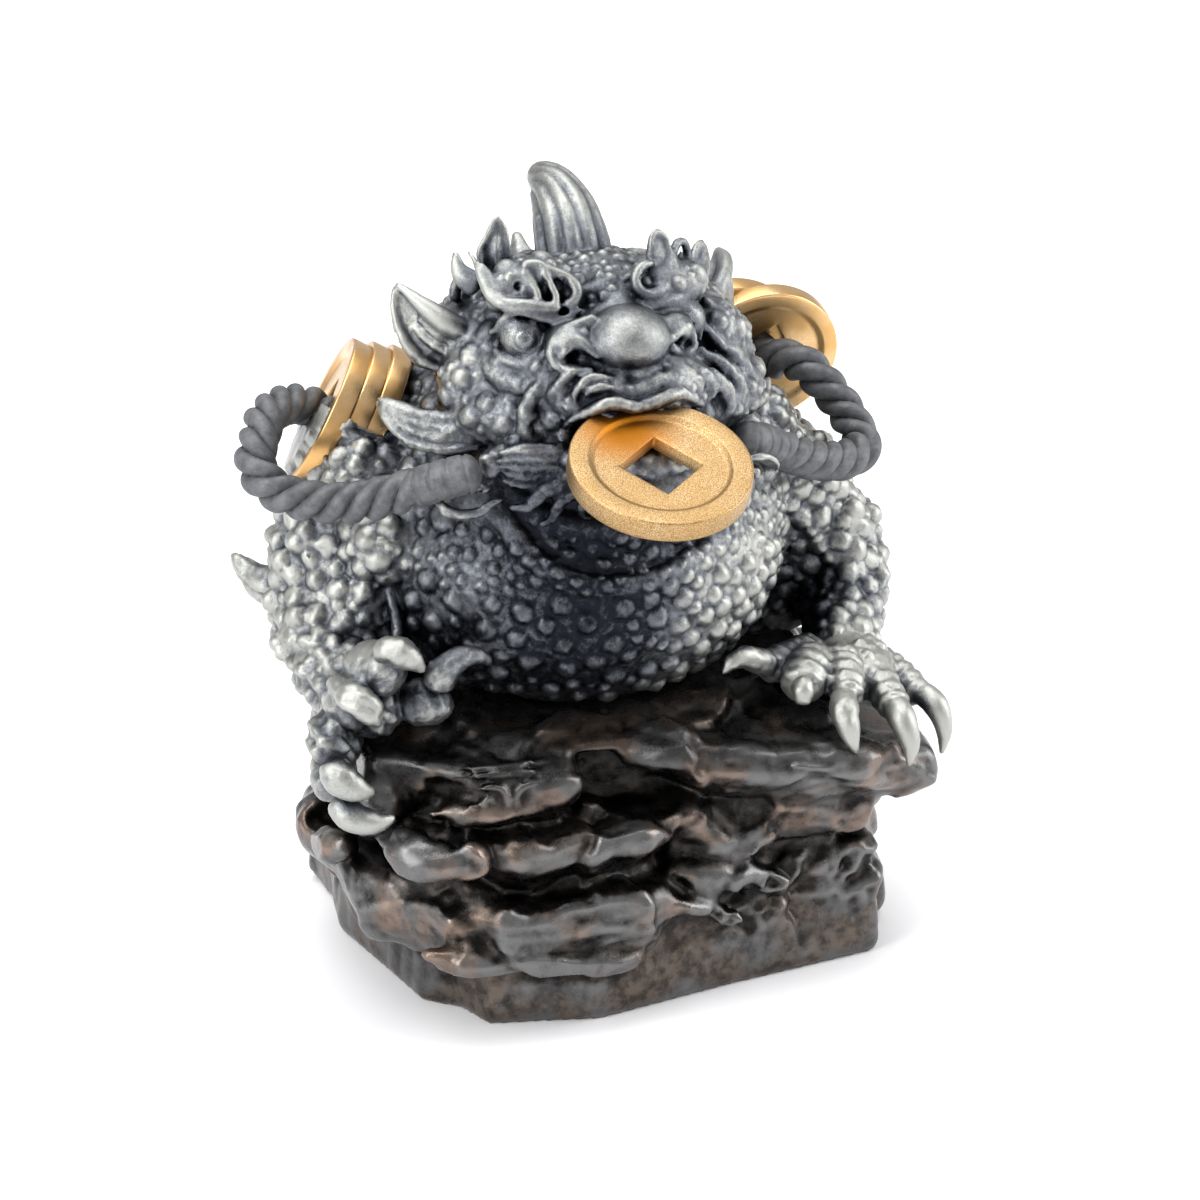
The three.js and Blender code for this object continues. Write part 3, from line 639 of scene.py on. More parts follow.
# Carved forms that stay crisp: spine, radii, options if there are any. None of them carries warts.
CARVED = [
    # Horn with its flutes and round tip.
    (((0.4, -2, 105), (0.4, 1.5, 110.4), (0.3, 5.5, 114), (-0.3, 9.6, 116.4), (-1.8, 13.4, 117.6)),
     (5.8, 5.7, 5.1, 3.8, 1.7), dict(sides=66, rings=40, flutes=11, depth=0.17, facing=(0, -1, 0))),
    # Spine behind the horn, and the spines down the back.
    (((0, 14, 94), (0, 22, 97.5), (0, 28.6, 103.6)), (4, 3.2, 0.6), dict(BACK_SPINE, facing=(0, -1, 0))),
    (((0, 20, 88), (0, 27, 90.5), (0, 33, 94.5)), (4, 3, 0.5), BACK_SPINE),
    (((0, 27, 80), (0, 33, 81.5), (0, 38.6, 84.5)), (3.6, 2.8, 0.5), BACK_SPINE),
    (((0, 32, 70), (0, 37, 71), (0, 40.6, 73)), (3.2, 2.4, 0.5), BACK_SPINE),
    # Right brow: the scroll's upper roll, its lower roll flaring into a tip, and the bars between.
    (((-13.6, -18.6, 113.2), (-11.4, -19.2, 113.4), (-9.4, -20, 112.4), (-7.3, -20.8, 111.4),
      (-6.1, -21.8, 110), (-6.6, -22.4, 108.4),
      (-8.4, -22.6, 107.7)), (0.6, 0.75, 0.8, 0.85, 0.9, 0.9, 0.8)),
    (((-8.4, -22.8, 107.6), (-11, -22.4, 107.7), (-13.6, -21.8, 108.1), (-16.3, -20.6, 108.2),
      (-18, -19, 109.2), (-18.6, -17.4, 110.7),
      (-19.1, -15.6, 112.8), (-19.5, -14, 113.9), (-19.9, -13, 114.4)),
     (0.9, 1, 1.1, 1.15, 1.1, 0.9, 0.7, 0.4, 0.3)),
    (((-10.8, -20.2, 112.8), (-10, -21.2, 111.1), (-9.3, -22, 109.3), (-9.4, -22.4, 108.1)),
     (0.55, 0.55, 0.6, 0.6)),
    (((-13.5, -19.2, 112.8), (-12.5, -20.2, 111.3), (-11.8, -21.2, 109.7), (-11.8, -21.8, 108.4)),
     (0.5, 0.55, 0.6, 0.6)),
    (((-19, -15.8, 113.4), (-18, -16.8, 112.3), (-17.5, -18.2, 110.7), (-16.6, -19.2, 109.9),
      (-15.2, -19, 110.6), (-14.5, -18.4, 111.6),
      (-13.8, -18.6, 113)), (0.35, 0.5, 0.6, 0.65, 0.6, 0.55, 0.5)),
    # Its flame: a hollow leaf with a rolled rim, and the wave at its root.
    (((-15.8, -13.6, 109), (-15.8, -12.6, 113.4), (-15.1, -12, 118)),
     (2.6, 2.4, 0.5), dict(flat=0.42, facing=(-0.3, -1, 0.3))),
    (((-13.7, -14.4, 109.8), (-13.7, -13.4, 114.2), (-13.9, -12.7, 116.6), (-15, -12.3, 118.7),
      (-16.7, -12.7, 116.2),
      (-18.1, -13.2, 113.8), (-17.6, -14.6, 110.6)), (0.5, 0.45, 0.4, 0.4, 0.4, 0.45, 0.5)),
    (((-15.6, -14.8, 110), (-15.7, -13.8, 113.4), (-15.2, -12.8, 116.4)), (0.5, 0.45, 0.3)),
    (((-17.7, -15.2, 110.4), (-16.9, -16.6, 109.5), (-16, -17, 109.4), (-14.7, -16.2, 110.6),
      (-13.9, -15.6, 111.8)),
     (0.5, 0.7, 0.7, 0.6, 0.35)),
    (((-17.5, -12, 108), (-20, -10, 110.2), (-20.4, -8.8, 113.2)),
     (2.2, 1.6, 0.4), dict(flat=0.6, facing=(-0.5, -1, 0.2))),
    # Left brow: the scroll, its lower roll, and three tongues.
    (((9.5, -17.8, 112.9), (9.3, -19, 111.2), (8.3, -20.4, 109.3), (6.2, -21.8, 108.2),
      (4.2, -22.4, 108.2), (2.9, -21.9, 109.4),
      (3.2, -20.9, 111), (4.8, -20, 111.9), (6.6, -19.6, 111.8)),
     (0.6, 0.85, 0.95, 1, 0.95, 0.9, 0.85, 0.8, 0.5)),
    (((2.8, -22.6, 107.3), (5.4, -22.6, 106.6), (8.6, -21.6, 106.8), (12.2, -19.2, 107.4),
      (14.8, -16, 108.2), (16.4, -13, 109.6),
      (17.1, -10.6, 111.6)), (0.6, 0.9, 1.05, 1.1, 1.1, 0.9, 0.35)),
    (((7.6, -19, 109.8), (7.4, -17.6, 113), (7.4, -16.8, 115.8)),
     (2.1, 1.9, 0.9), dict(flat=0.5, facing=(0.2, -1, 0.3))),
    (((8.3, -19.2, 110.6), (6.4, -18.2, 113.4), (7, -17.6, 115.9), (8.8, -17.3, 115), (9.4, -18.2, 112.4)),
     (0.4, 0.42, 0.42, 0.42, 0.35)),
    (((9.8, -19.4, 109.8), (9.9, -17.6, 112.2), (11.2, -16, 113.5), (12.5, -15.2, 113), (13, -15, 111),
      (12.5, -16.2, 108.8)),
     (0.7, 0.7, 0.7, 0.65, 0.7, 0.7)),
    (((11, -17.6, 109.4), (11.3, -16.6, 111.2), (11.8, -16, 112.2)), (0.5, 0.5, 0.35)),
    (((14.5, -15, 107.6), (14.5, -13.6, 109.6), (15.4, -12, 111.2), (16.9, -10.8, 112)),
     (0.9, 0.8, 0.6, 0.3)),
    # Eyelids: a sharp upper line that runs on to the nose, its fold, and the lower lid.
    (((-18.1, -16.8, 102.9), (-17.2, -18.2, 103.7), (-16.7, -19.8, 105.6), (-15.5, -21.2, 107),
      (-13.7, -22.2, 107.1),
      (-11.6, -22.6, 106.2), (-9.6, -23, 105.9), (-7.9, -23.2, 106.4), (-5.4, -23.4, 107.3)),
     (0.4, 0.5, 0.6, 0.6, 0.6, 0.6, 0.55, 0.5, 0.4)),
    (((-17.2, -17.2, 100.8), (-16.2, -19.4, 99.6), (-14.2, -21.2, 99.2), (-12, -22.4, 99.8),
      (-10.5, -22.8, 101.4), (-10, -22.8, 103.6)),
     (0.5, 0.8, 0.9, 0.85, 0.7, 0.4)),
    (((-18.2, -16, 99.2), (-17.4, -18, 97.4), (-15.8, -20, 96.4), (-13.8, -21.6, 96.2), (-12, -22.6, 97.4)),
     (0.6, 1.4, 1.9, 1.9, 1)),
    (((5.7, -22.8, 105.7), (8.6, -22, 106.2), (11.2, -20.6, 105.2), (12.9, -19.4, 102.6),
      (13.8, -18.4, 99.8)),
     (0.4, 0.6, 0.65, 0.6, 0.35)),
    (((9.4, -21.6, 99.8), (11.4, -20.8, 98.6), (13.2, -19.6, 99.2)), (0.5, 0.8, 0.5)),
    # Wrinkles that ring the left side of the nose, and the folds of that cheek.
    (((9.4, -21.8, 106), (11.8, -20.6, 104.6), (13.3, -20.3, 102.5), (12.6, -21.6, 99.6)),
     (0.4, 0.6, 0.65, 0.4)),
    (((11.6, -23.2, 99.8), (14.6, -22.7, 97.4), (17.9, -22, 94.1), (19, -21.5, 90.8), (18.5, -21, 88)),
     (0.5, 1.1, 1.4, 1.4, 0.8)),
    (((13.3, -20, 102.7), (16, -19.3, 99), (19.3, -18.4, 95.9), (21.3, -17.8, 92.4), (21.4, -17.4, 88.7)),
     (0.6, 1.2, 1.5, 1.5, 0.8)),
    (((14.8, -16.6, 105), (18, -15.4, 101.6), (20.8, -14.4, 97.6), (22.2, -14.2, 92.6)),
     (0.6, 1.2, 1.4, 0.8)),
    # Wings of the nose: one rim from the bridge round each nostril, and the edge above the hole.
    (((-4, -25.4, 106.6), (-6.4, -25, 105.7), (-8.4, -24.8, 105), (-10.3, -25, 103.8),
      (-11, -25.4, 102.1), (-10.7, -26.2, 100.7),
      (-9.3, -27.4, 99.9), (-7, -28.4, 100)), (0.8, 0.95, 0.95, 0.95, 0.95, 0.9, 0.8, 0.5)),
    (((-10.6, -25.6, 103.2), (-9.2, -26.2, 103.9), (-7.4, -27, 103.9), (-6, -28, 102.6),
      (-5, -29, 101.2)), (0.6, 0.8, 0.8, 0.7, 0.4)),
    (((4.4, -25.4, 105.4), (6.2, -24.8, 104.6), (8.2, -24, 104.7), (10, -23.6, 103.4),
      (10.8, -23.6, 101.6), (10.8, -24, 100),
      (9.4, -25, 99.5)), (0.8, 0.95, 0.9, 0.85, 0.8, 0.7, 0.5)),
    (((5, -28, 102.2), (7, -26.6, 102.9), (8.7, -25.4, 103), (10.2, -24.4, 101.9)), (0.6, 0.8, 0.8, 0.5)),
    # Fold from the nose to the corner of the mouth.
    (((-10.4, -24.4, 98.6), (-13.2, -24.2, 95.6), (-14.8, -24.4, 92.4), (-14.4, -25, 89.6)),
     (0.6, 1.2, 1.3, 0.7)),
    # Moustache: curled locks to each side, each rolled over a hollow.
    (((-5.6, -29.2, 100.1), (-8.8, -28.2, 99.5), (-10.3, -27.5, 98), (-11.2, -26.8, 96.5),
      (-12, -26, 95.3)), (0.4, 0.75, 0.85, 0.8, 0.4)),
    (((-9.4, -28, 97.2), (-9.9, -27.6, 95.9), (-10.8, -27, 95.1), (-11.8, -26.2, 95.2)),
     (0.35, 0.55, 0.6, 0.4)),
    (((-3.2, -30.4, 98.8), (-5, -30.4, 99.4), (-6.6, -30.1, 99.3), (-8, -29.9, 98.4), (-8.8, -29.7, 96.9),
      (-8.7, -29.6, 95.2)),
     (0.35, 0.6, 0.65, 0.65, 0.6, 0.45)),
    (((-3.6, -31, 97.8), (-5.2, -31, 98), (-6.8, -30.8, 97.6), (-7.8, -30.5, 96.6)), (0.4, 0.7, 0.7, 0.4)),
    (((1.4, -30.6, 98.8), (4, -30.4, 98.3), (6, -30.1, 97.1), (7.6, -29.9, 95.6), (8.4, -29.6, 94.6)),
     (0.3, 0.6, 0.65, 0.6, 0.4)),
    (((0.6, -31, 98), (2.9, -30.9, 97.2), (4.8, -30.8, 96.5)), (0.3, 0.5, 0.35)),
    (((5.4, -28, 100.4), (8.9, -27, 98.7), (11.1, -26.7, 97.4), (13, -26.4, 95.9), (13.5, -26.1, 94.1),
      (13, -26, 92.1)),
     (0.4, 0.7, 0.75, 0.75, 0.7, 0.5)),
    (((8, -28.8, 96.2), (10.7, -27.6, 95.9), (13, -26.6, 95.6)), (0.35, 0.5, 0.4)),
    # Upper lip in two arches, its folds at the corners and the left jowl.
    (((-10, -27.6, 90.7), (-9.3, -29.6, 92.8), (-7.6, -31, 94.3), (-5.8, -32, 95.4), (-3.7, -32.6, 95.9),
      (-0.9, -33, 95),
      (1.5, -32.8, 95.4), (4, -32.2, 96), (6.4, -31.4, 95.8), (8.9, -30.2, 94.3), (11.2, -28.6, 92)),
     (0.5, 0.8, 0.95, 1, 1, 0.95, 1, 1.05, 1, 0.9, 0.6), dict(rings=44)),
    (((-13.1, -25.4, 93), (-14.6, -24.8, 92), (-14.9, -24.6, 90.6), (-14.3, -24.8, 89.2),
      (-12.7, -25.6, 88.4)),
     (0.5, 0.9, 1, 0.9, 0.5)),
    (((11.4, -25.6, 97.6), (14.1, -25.2, 95.5), (15.9, -24.8, 92.6), (15.9, -24.4, 90),
      (14.9, -24.2, 88.3)),
     (0.5, 1.1, 1.4, 1.3, 0.7)),
    # Lower lip, under the coin.
    (((-11, -27.6, 85.4), (-6, -32.4, 84), (1, -34.4, 83.6), (8, -32.4, 84), (12.4, -27.6, 85.4)),
     (1.2, 1.9, 2.1, 1.9, 1.2)),
    # Root of the right cheek's lock, and the beard's ribbons and curls under the jaw on both sides.
    (((-31.8, -6, 90.4), (-30.6, -8, 89.2), (-28.7, -9.8, 88.3), (-25.9, -11.6, 87.6),
      (-22.6, -13.8, 87.8), (-19, -15.8, 88)),
     (0.4, 1.3, 1.9, 2.3, 2.5, 2.4)),
    (((-28.2, -23.6, 81.3), (-26.8, -25, 79.6), (-24.5, -25.8, 78.9), (-22.4, -26.2, 79.3),
      (-20.5, -26.8, 80.6), (-18.6, -27.2, 81.2)),
     (0.6, 0.95, 1, 0.9, 0.7, 0.35), dict(flat=0.7)),
    (((-27.6, -23.6, 81.4), (-25.6, -25, 82.7), (-22.9, -26, 83.2), (-20.4, -26.4, 82.6)),
     (0.5, 0.7, 0.7, 0.4)),
    (((-9, -29.4, 84), (-13, -28.2, 82), (-15.4, -27.2, 79.8), (-18, -26.4, 79.4)), (1.3, 1.3, 1, 0.4)),
    (((-8, -30.4, 83), (-11, -29.4, 80.6), (-12, -28.6, 78), (-13.8, -28, 76.8)), (1.2, 1.1, 0.9, 0.4)),
    (((-6, -33, 83), (-8.4, -31.4, 80.6), (-8, -30.6, 78.4), (-6.4, -30.8, 78.2)), (0.9, 0.8, 0.6, 0.3)),
    (((-1, -34.4, 82.8), (-2, -32.8, 80), (-0.4, -31.8, 78.4), (1.2, -32.2, 79)), (0.9, 0.8, 0.6, 0.3)),
    (((4, -34, 83), (4, -32.6, 80.2), (5.8, -31.6, 78.8), (7.2, -31.8, 79.8)), (0.9, 0.8, 0.6, 0.3)),
    (((11, -29.6, 84.6), (14.6, -27.6, 83.6), (17, -26.4, 81.4), (19.6, -25.8, 80.4)),
     (0.9, 0.9, 0.7, 0.3)),
    (((14, -25.8, 84), (18, -25.6, 82.6), (20.4, -25.8, 82.8), (22.8, -25.4, 82.1), (23.9, -25, 80.6),
      (23.2, -24.8, 79.5)),
     (1, 0.7, 0.55, 0.5, 0.45, 0.35)),
    (((17, -25.8, 79.8), (19, -26.2, 81), (20.4, -26.2, 80.6), (19.8, -26, 79.3)), (0.6, 0.45, 0.45, 0.35)),
    # Laid-back lock on the left cheek.
    (((28, -9, 88.6), (26.6, -11.4, 87), (24, -14.4, 86.4)), (0.5, 1, 0.9)),
    (((27.4, -9, 90.8), (25.8, -11, 89.6), (23, -14, 89)), (0.5, 0.9, 0.8)),
    # Frill curl beside the right brow.
    (((-19.9, -6.4, 104.4), (-19.4, -5.6, 106.7), (-18, -5.6, 107.8), (-16.7, -6.2, 107.5),
      (-16.6, -7.2, 106.2), (-17.5, -8.4, 104.8)),
     (0.9, 0.95, 0.95, 0.9, 0.85, 0.8)),
    # Right ear: a hollow leaf with a thick upper fold, a rim and ribs inside.
    (((-18.6, -8, 96.5), (-23.2, -7, 99.5), (-26.3, -5.6, 103.5), (-28.4, -4.6, 107.7)),
     (3.6, 4.8, 3.6, 0.6),
     dict(flat=0.42, facing=(-0.35, -0.9, 0.2))),
    (((-19.4, -10.6, 101.2), (-22.4, -10, 103), (-25.2, -8.2, 105.2), (-27.2, -6.4, 107),
      (-28.5, -5.2, 108)), (1.7, 1.9, 1.5, 0.9, 0.35)),
    (((-19.4, -10, 95.6), (-23.6, -9.4, 95.8), (-26.6, -8.4, 98), (-28.4, -7, 101.2),
      (-28.9, -5.6, 104.6), (-28.5, -5.2, 107.6)),
     (0.8, 0.8, 0.7, 0.65, 0.6, 0.35)),
    (((-20.6, -10.2, 97.8), (-24, -9.2, 99.4), (-26.6, -7.6, 102)), (0.6, 0.6, 0.35)),
    (((-20.4, -10.4, 99.4), (-23.6, -9.6, 101), (-26, -8, 103.4)), (0.6, 0.6, 0.35)),
    # Left ear, laid back.
    (((19, -4, 96), (23, 0, 98.5), (25, 4, 101), (26, 9, 103.6)),
     (3.6, 4.8, 3.6, 0.6), dict(flat=0.34, facing=(0.8, -0.5, 0.4))),
    (((20, -4.6, 99), (23.4, -1.4, 102.2), (25.4, 3, 104), (26, 8.6, 104)), (1.4, 1.4, 1.1, 0.5)),
    # Tendon at the inside of the right forearm, and the elbow spikes.
    (((-32.4, -8, 64.4), (-31.4, -11, 60.6), (-31.8, -14.6, 57.4), (-33.4, -18, 54)), (0.5, 0.9, 0.9, 0.7)),
    (((-41, 3, 57.6), (-46.6, 9, 58.4), (-50, 14.2, 61)), (3.6, 3, 0.8),
     ELBOW_SPIKE),
    (((45, 4, 51.6), (49, 9.5, 53), (52, 14.2, 55.4)), (3.3, 2.6, 0.7), ELBOW_SPIKE),
    # Right paw, from the inside out: each digit, then its claw.
    (((-33, -22, 49.4), (-29.8, -25.4, 50.2), (-28, -27, 51.8)), (3.3, 3.5, 3.1), dict(ribs=4)),
    (((-29.4, -27.4, 53), (-28.6, -28.4, 56.2), (-26.2, -29, 58), (-23.4, -28.8, 58),
      (-21.2, -28.2, 56.2)), (2.4, 2.4, 2, 1.3, 0.3)),
    (((-38.4, -19, 53), (-37.6, -24.4, 56.4), (-34.6, -28, 57)), (3.5, 4, 4.1), dict(ribs=3)),
    (((-38.6, -27.6, 60.4), (-36.6, -29.8, 61), (-34.4, -30.6, 60), (-32.2, -31.2, 57.6)),
     (1, 2, 2.2, 1.8, 0.4), dict(sides=28)),
    (((-40.6, -19, 50.6), (-42, -26, 52.2), (-39.8, -29.2, 52)), (3.4, 3.6, 3.7), dict(ribs=4)),
    (((-44.6, -28.8, 55.2), (-42.8, -31.2, 54.9), (-41, -32.3, 53.4), (-39, -32.8, 50.8)),
     (1, 2, 2.2, 1.8, 0.4), dict(sides=28)),
    (((-41, -18, 47), (-45, -25, 46.8), (-45.8, -29.6, 45.4)), (3.3, 3.2, 2.9), WRINKLED),
    (((-46.4, -31, 45.4), (-45.4, -33.2, 43.3), (-43, -34.2, 41.8), (-40.6, -34.2, 41)),
     (2.2, 2.7, 2.1, 0.5)),
    (((-40.4, -17, 43.6), (-44.6, -23.6, 40.6), (-45.4, -28.6, 39.2)), (3.3, 3.1, 2.7), WRINKLED),
    (((-45.8, -30.2, 39.2), (-43.8, -32.8, 37), (-40.4, -34, 36.2), (-37.6, -34.2, 36.8)),
     (2, 2.4, 1.9, 0.45)),
    # Left paw, from the thumb out: each digit, then its claw.
    (((34, -15, 46), (28.4, -19.4, 46.8), (23, -22.8, 47.8)), (3.2, 3, 2.5), RINGED),
    (((24, -23, 48), (21.6, -24, 49.4), (19.4, -24.8, 50.6), (17.2, -25.6, 50.6), (15, -26.2, 48.8)),
     (2, 2, 1.8, 1.3, 0.3)),
    (((33, -19, 46), (29.4, -25, 47.6), (26.4, -29.8, 46)),
     (3.2, 3.3, 3.7), dict(ribs=6, rib=0.16, rings=40)),
    (((26, -31.4, 49), (25.5, -33, 48), (25, -34, 45.6)), (1.4, 1.9, 1.2)),
    (((36, -20, 46.4), (34.4, -27, 46.6), (32.8, -32.6, 45)), (3.3, 3, 2.7), RINGED),
    (((32.6, -31.4, 45.4), (31.4, -35, 44.6), (31.6, -37, 41.6), (32.7, -37.2, 38)),
     (2.2, 2.3, 1.6, 0.3), dict(sides=24)),
    (((39.6, -18.6, 45.2), (40.6, -25.6, 44), (41, -32.4, 42.2)), (3.2, 2.9, 2.5), RINGED),
    (((40.8, -31, 43), (41, -34.6, 41.4), (41.8, -36, 38), (41.5, -36.2, 34.3)),
     (2.1, 2.2, 1.5, 0.3), dict(sides=24)),
    (((42.6, -15, 44), (45.8, -21.6, 42.4), (47.4, -26.4, 41)), (3, 2.7, 2.4), RINGED),
    (((47.2, -25.4, 42), (48.8, -28.8, 40.4), (49.7, -30, 36.8), (49.5, -29.8, 32.5)),
     (1.9, 2, 1.3, 0.3), dict(sides=24)),
    # Toes of the hind foot.
    (((1, 34, 47.6), (-6, 36.2, 47.4), (-11.8, 36.4, 46.6)), (3, 2.3, 0.6), dict(ribs=6)),
    (((2, 34, 48), (2, 37.4, 48), (1, 40, 46.8)), (3, 2.3, 0.6), dict(ribs=4)),
    (((3, 34, 47.6), (9.6, 36.2, 47.4), (14.8, 36.2, 46.6)), (3, 2.3, 0.6), dict(ribs=6)),
]


def swept(first, last, count, radii):
    """Ridges spread evenly from one spine to another, and the middle lines between them."""
    a, b = trail(first, 7), trail(last, 7)
    ridges = [(a + (b - a) * k / (count - 1), radii) for k in range(count)]
    return ridges, [a + (b - a) * (k + 0.5) / (count - 1) for k in range(count - 1)]


# The flame lock on the right cheek, and the beard's strands that tie the right rope.
LOCK, LOCK_LINES = swept(
    ((-32.6, -7, 91.2), (-30.3, -9, 90.9), (-28.3, -11, 90.4), (-25.7, -13, 90), (-22.5, -15.2, 90),
     (-19, -17.4, 90)),
    ((-32.2, -7.2, 90.4), (-31, -9.6, 88), (-29.2, -11.6, 86.3), (-26.2, -13.6, 85.2), (-22.7, -16, 85.6),
     (-19, -18, 86)),
    4, (0.3, 0.75, 0.9, 0.9, 0.9, 0.7))
BEARD, BEARD_LINES = swept(
    ((-19.4, -25.6, 87.4), (-16.6, -26.4, 88.2), (-13.4, -27, 88.2), (-9.6, -28, 88)),
    ((-19, -26, 83.8), (-16.6, -26.6, 83), (-13.4, -27.2, 82.8),
     (-9.3, -28.2, 83)), 5, (0.3, 0.7, 0.8, 0.7))
CARVED += LOCK + BEARD
# Smooth balls among the carved forms: nose and eyes.
CARVED_BALLS = (
    ((0.3, -25.4, 102.8), (6.3, 6.2, 4.9)),
    (RIGHT_EYE, (3.5, 3.5, 3.5)),
    (LEFT_EYE, (3.3, 3.3, 3.3)),
)
# Places pressed in with a round tool: centre, radius, push.
DENTS = (
    # Nostrils, pupils, and the scrolls' teardrop holes.
    ((-8.3, -27.4, 101.5), 1.1, (0.4, 3, 0.6)),
    ((8.2, -26.4, 101.3), 1.2, (-0.4, 3, 0.7)),
    ((-14, -23.1, 103.6), 0.7, (0, 0.4, 0)),
    ((11, -22.1, 102.8), 0.8, (0, 0.5, 0)),
    ((-7.9, -21.8, 111.2), 0.75, (0, 1.3, -0.5)),
    ((-10.8, -21.2, 110.9), 0.75, (0, 1.4, -0.5)),
    ((-14.3, -20.4, 110.6), 0.85, (0, 1.5, -0.5)),
    ((5.5, -21.2, 110.1), 0.8, (0, 1.5, -0.5)),
    ((11.4, -17.4, 110.8), 0.6, (0, 1, -0.4)),
    ((-18.1, -7, 106), 1, (0.6, 1.6, 0)),
    # Philtrum under the nose, and the hollows behind the moustache.
    ((-0.8, -31, 99), 2, (0, 1.4, 0)),
    ((11.4, -28, 95), 1.1, (0, 1, 0)),
    # Mouth behind the coin and its corners.
    ((-8, -30, 90), 3, (1, 4.5, 0)),
    ((8.8, -29, 90), 3, (-1, 4.5, 0)),
    ((0, -32, 90.6), 4, (0, 4, 0)),
    ((-12.6, -26.6, 90.8), 0.8, (0.2, 1.4, 0)),
    # Pocket below the cheek lock.
    ((-28.6, -13, 81), 2, (1, 2.6, 0)),
)
# Creases drawn with a fine tool: path, half width, depth.
GROOVES = [
    (((-6.2, -17.2, 110), (-3.8, -18.4, 110.4), (-1.1, -15.4, 110.6), (2, -15.4, 110.4),
      (4.8, -16, 109.6)), 0.9, 0.9),
    (((-17, -23.6, 79.4), (-15, -26.4, 76), (-11.6, -28.6, 72.2), (-5.2, -30, 69.4), (3, -30, 69.6),
      (12, -27, 72)), 0.8, 0.9),
    (((-16, -24.4, 82), (-10, -28, 79), (0, -29.6, 77.4), (10, -28, 79)), 0.8, 0.7),
    # Round the bulb of the nose, under the brow roll, and round the iris.
    (((-6, -28.6, 101), (-3, -31.2, 99.6), (1, -31.4, 99), (4.4, -30, 100),
      (6.4, -27.6, 101.4)), 0.7, 0.45),
    (((-8, -22.6, 106.9), (-11, -22.4, 107), (-14, -21.6, 107.5), (-17, -19.4, 107.6)), 0.5, 0.7),
    (((-12.4, -22.9, 103.4), (-12.9, -22.9, 104.7), (-14, -22.7, 105.1), (-15.2, -22.3, 104.4),
      (-15.5, -22.2, 103.2),
      (-15, -22.4, 102.1), (-13.7, -22.8, 101.8), (-12.6, -22.9, 102.3), (-12.4, -22.9, 103.4)), 0.26, 0.2),
    # Between the moustache's locks and above the lip.
    (((-7, -29.4, 98.9), (-8.9, -28.9, 97.9), (-9.9, -28.3, 96.4), (-10.3, -27.9, 95.2)), 0.4, 0.6),
    (((-4, -30.8, 98.6), (-6.2, -30.7, 98.7), (-7.7, -30.4, 97.6), (-8.3, -30.2, 96)), 0.3, 0.45),
    (((-8.3, -30.2, 95.4), (-6.4, -31.4, 96.5), (-4, -31.8, 97.1), (-1, -32, 96.4), (1.6, -32, 96.7),
      (4.2, -31.4, 97), (7, -30.6, 96.2)), 0.45, 0.45),
    (((4.6, -29.6, 99.2), (7.6, -28.6, 98), (9.8, -28, 96.8), (10.6, -27.8, 95)), 0.45, 0.7),
]
GROOVES += [(line, 0.42, 0.55) for line in LOCK_LINES + BEARD_LINES]
RIGHT_ROPE = ((-22, -26.8, 85.6), (-25.7, -26, 85), (-30.7, -23, 82.8), (-35.9, -19, 80.2),
              (-41.2, -15, 78.8),
              (-46.9, -11, 79.2), (-49.7, -8, 81), (-50.1, -5, 83.1), (-48.6, -2, 85.2), (-46.6, 2, 86.9),
              (-43, 6, 87),
              (-39.6, 9, 85.8), (-36.6, 10, 84.3), (-32, 8.8, 81.8), (-28, 7.8, 79.7))
LEFT_ROPE = ((18, -22.4, 84.7), (20.4, -21.8, 83.9), (23.5, -20, 82.6), (28.8, -17, 79.3),
             (34, -14, 76.6), (40.4, -10, 74.6),
             (44.6, -6.5, 75), (44.6, -3, 77.2), (43.4, 0, 80), (41.3, 2, 82.9), (39.2, 4, 85.2),
             (37, 6.6, 85.8), (35.4, 10, 84.9),
             (34.6, 14, 85.2), (32, 18, 86.2), (29.6, 22, 87.2))
ROPE_RADIUS = 3.0


def ball(forms, centre, radii, sides=40, rings=26):
    """Adds an ellipsoid."""
    points, faces = unit_ball(sides, rings)
    forms.append((points * radii + np.array(centre), faces))


def knobs_along(forms, arm, count, size, seed):
    """Rounded lumps wound round an arm, half sunk into it."""
    dice = np.random.default_rng(seed)
    path = trail(arm[0])
    tangent, side = carried_frame(path)
    for i in range(count):
        k = int((i + 0.5) / count * len(path) * 0.66)
        a = i * 2.4 + dice.uniform(-0.3, 0.3)
        out = side[k] * math.cos(a) + np.cross(tangent[k], side[k]) * math.sin(a)
        r = size * dice.uniform(0.7, 1.25)
        arm_radius = np.interp(k / len(path), np.linspace(0, 1, len(arm[1])), arm[1])
        ball(forms, path[k] + out * (arm_radius - r * 0.35), (r, r, r), 14, 9)


def fill_creases(mesh, rounds, reach, share):
    """Raises what lies below its surroundings, so that neighbouring forms flow into each other."""
    for _ in range(rounds):
        low = np.maximum(hollowness(mesh, reach), 0)
        move_points(mesh, points_of(mesh) + normals_of(mesh) * (low * share)[:, None])


forms = []
for centre, radii in MASSES:
    ball(forms, centre, radii)
for spine, radii in SOFT_LIMBS:
    limb(forms, spine, radii)
knobs_along(forms, ARM_RIGHT, ARM_KNOBS, KNOB_RADIUS, 1)
knobs_along(forms, ARM_LEFT, ARM_KNOBS, KNOB_RADIUS, 2)
soft = modified(joined(forms, "masses"), "REMESH", mode="VOXEL", voxel_size=MASS_VOXEL)
move_points(soft, averaged(soft, points_of(soft), 8))

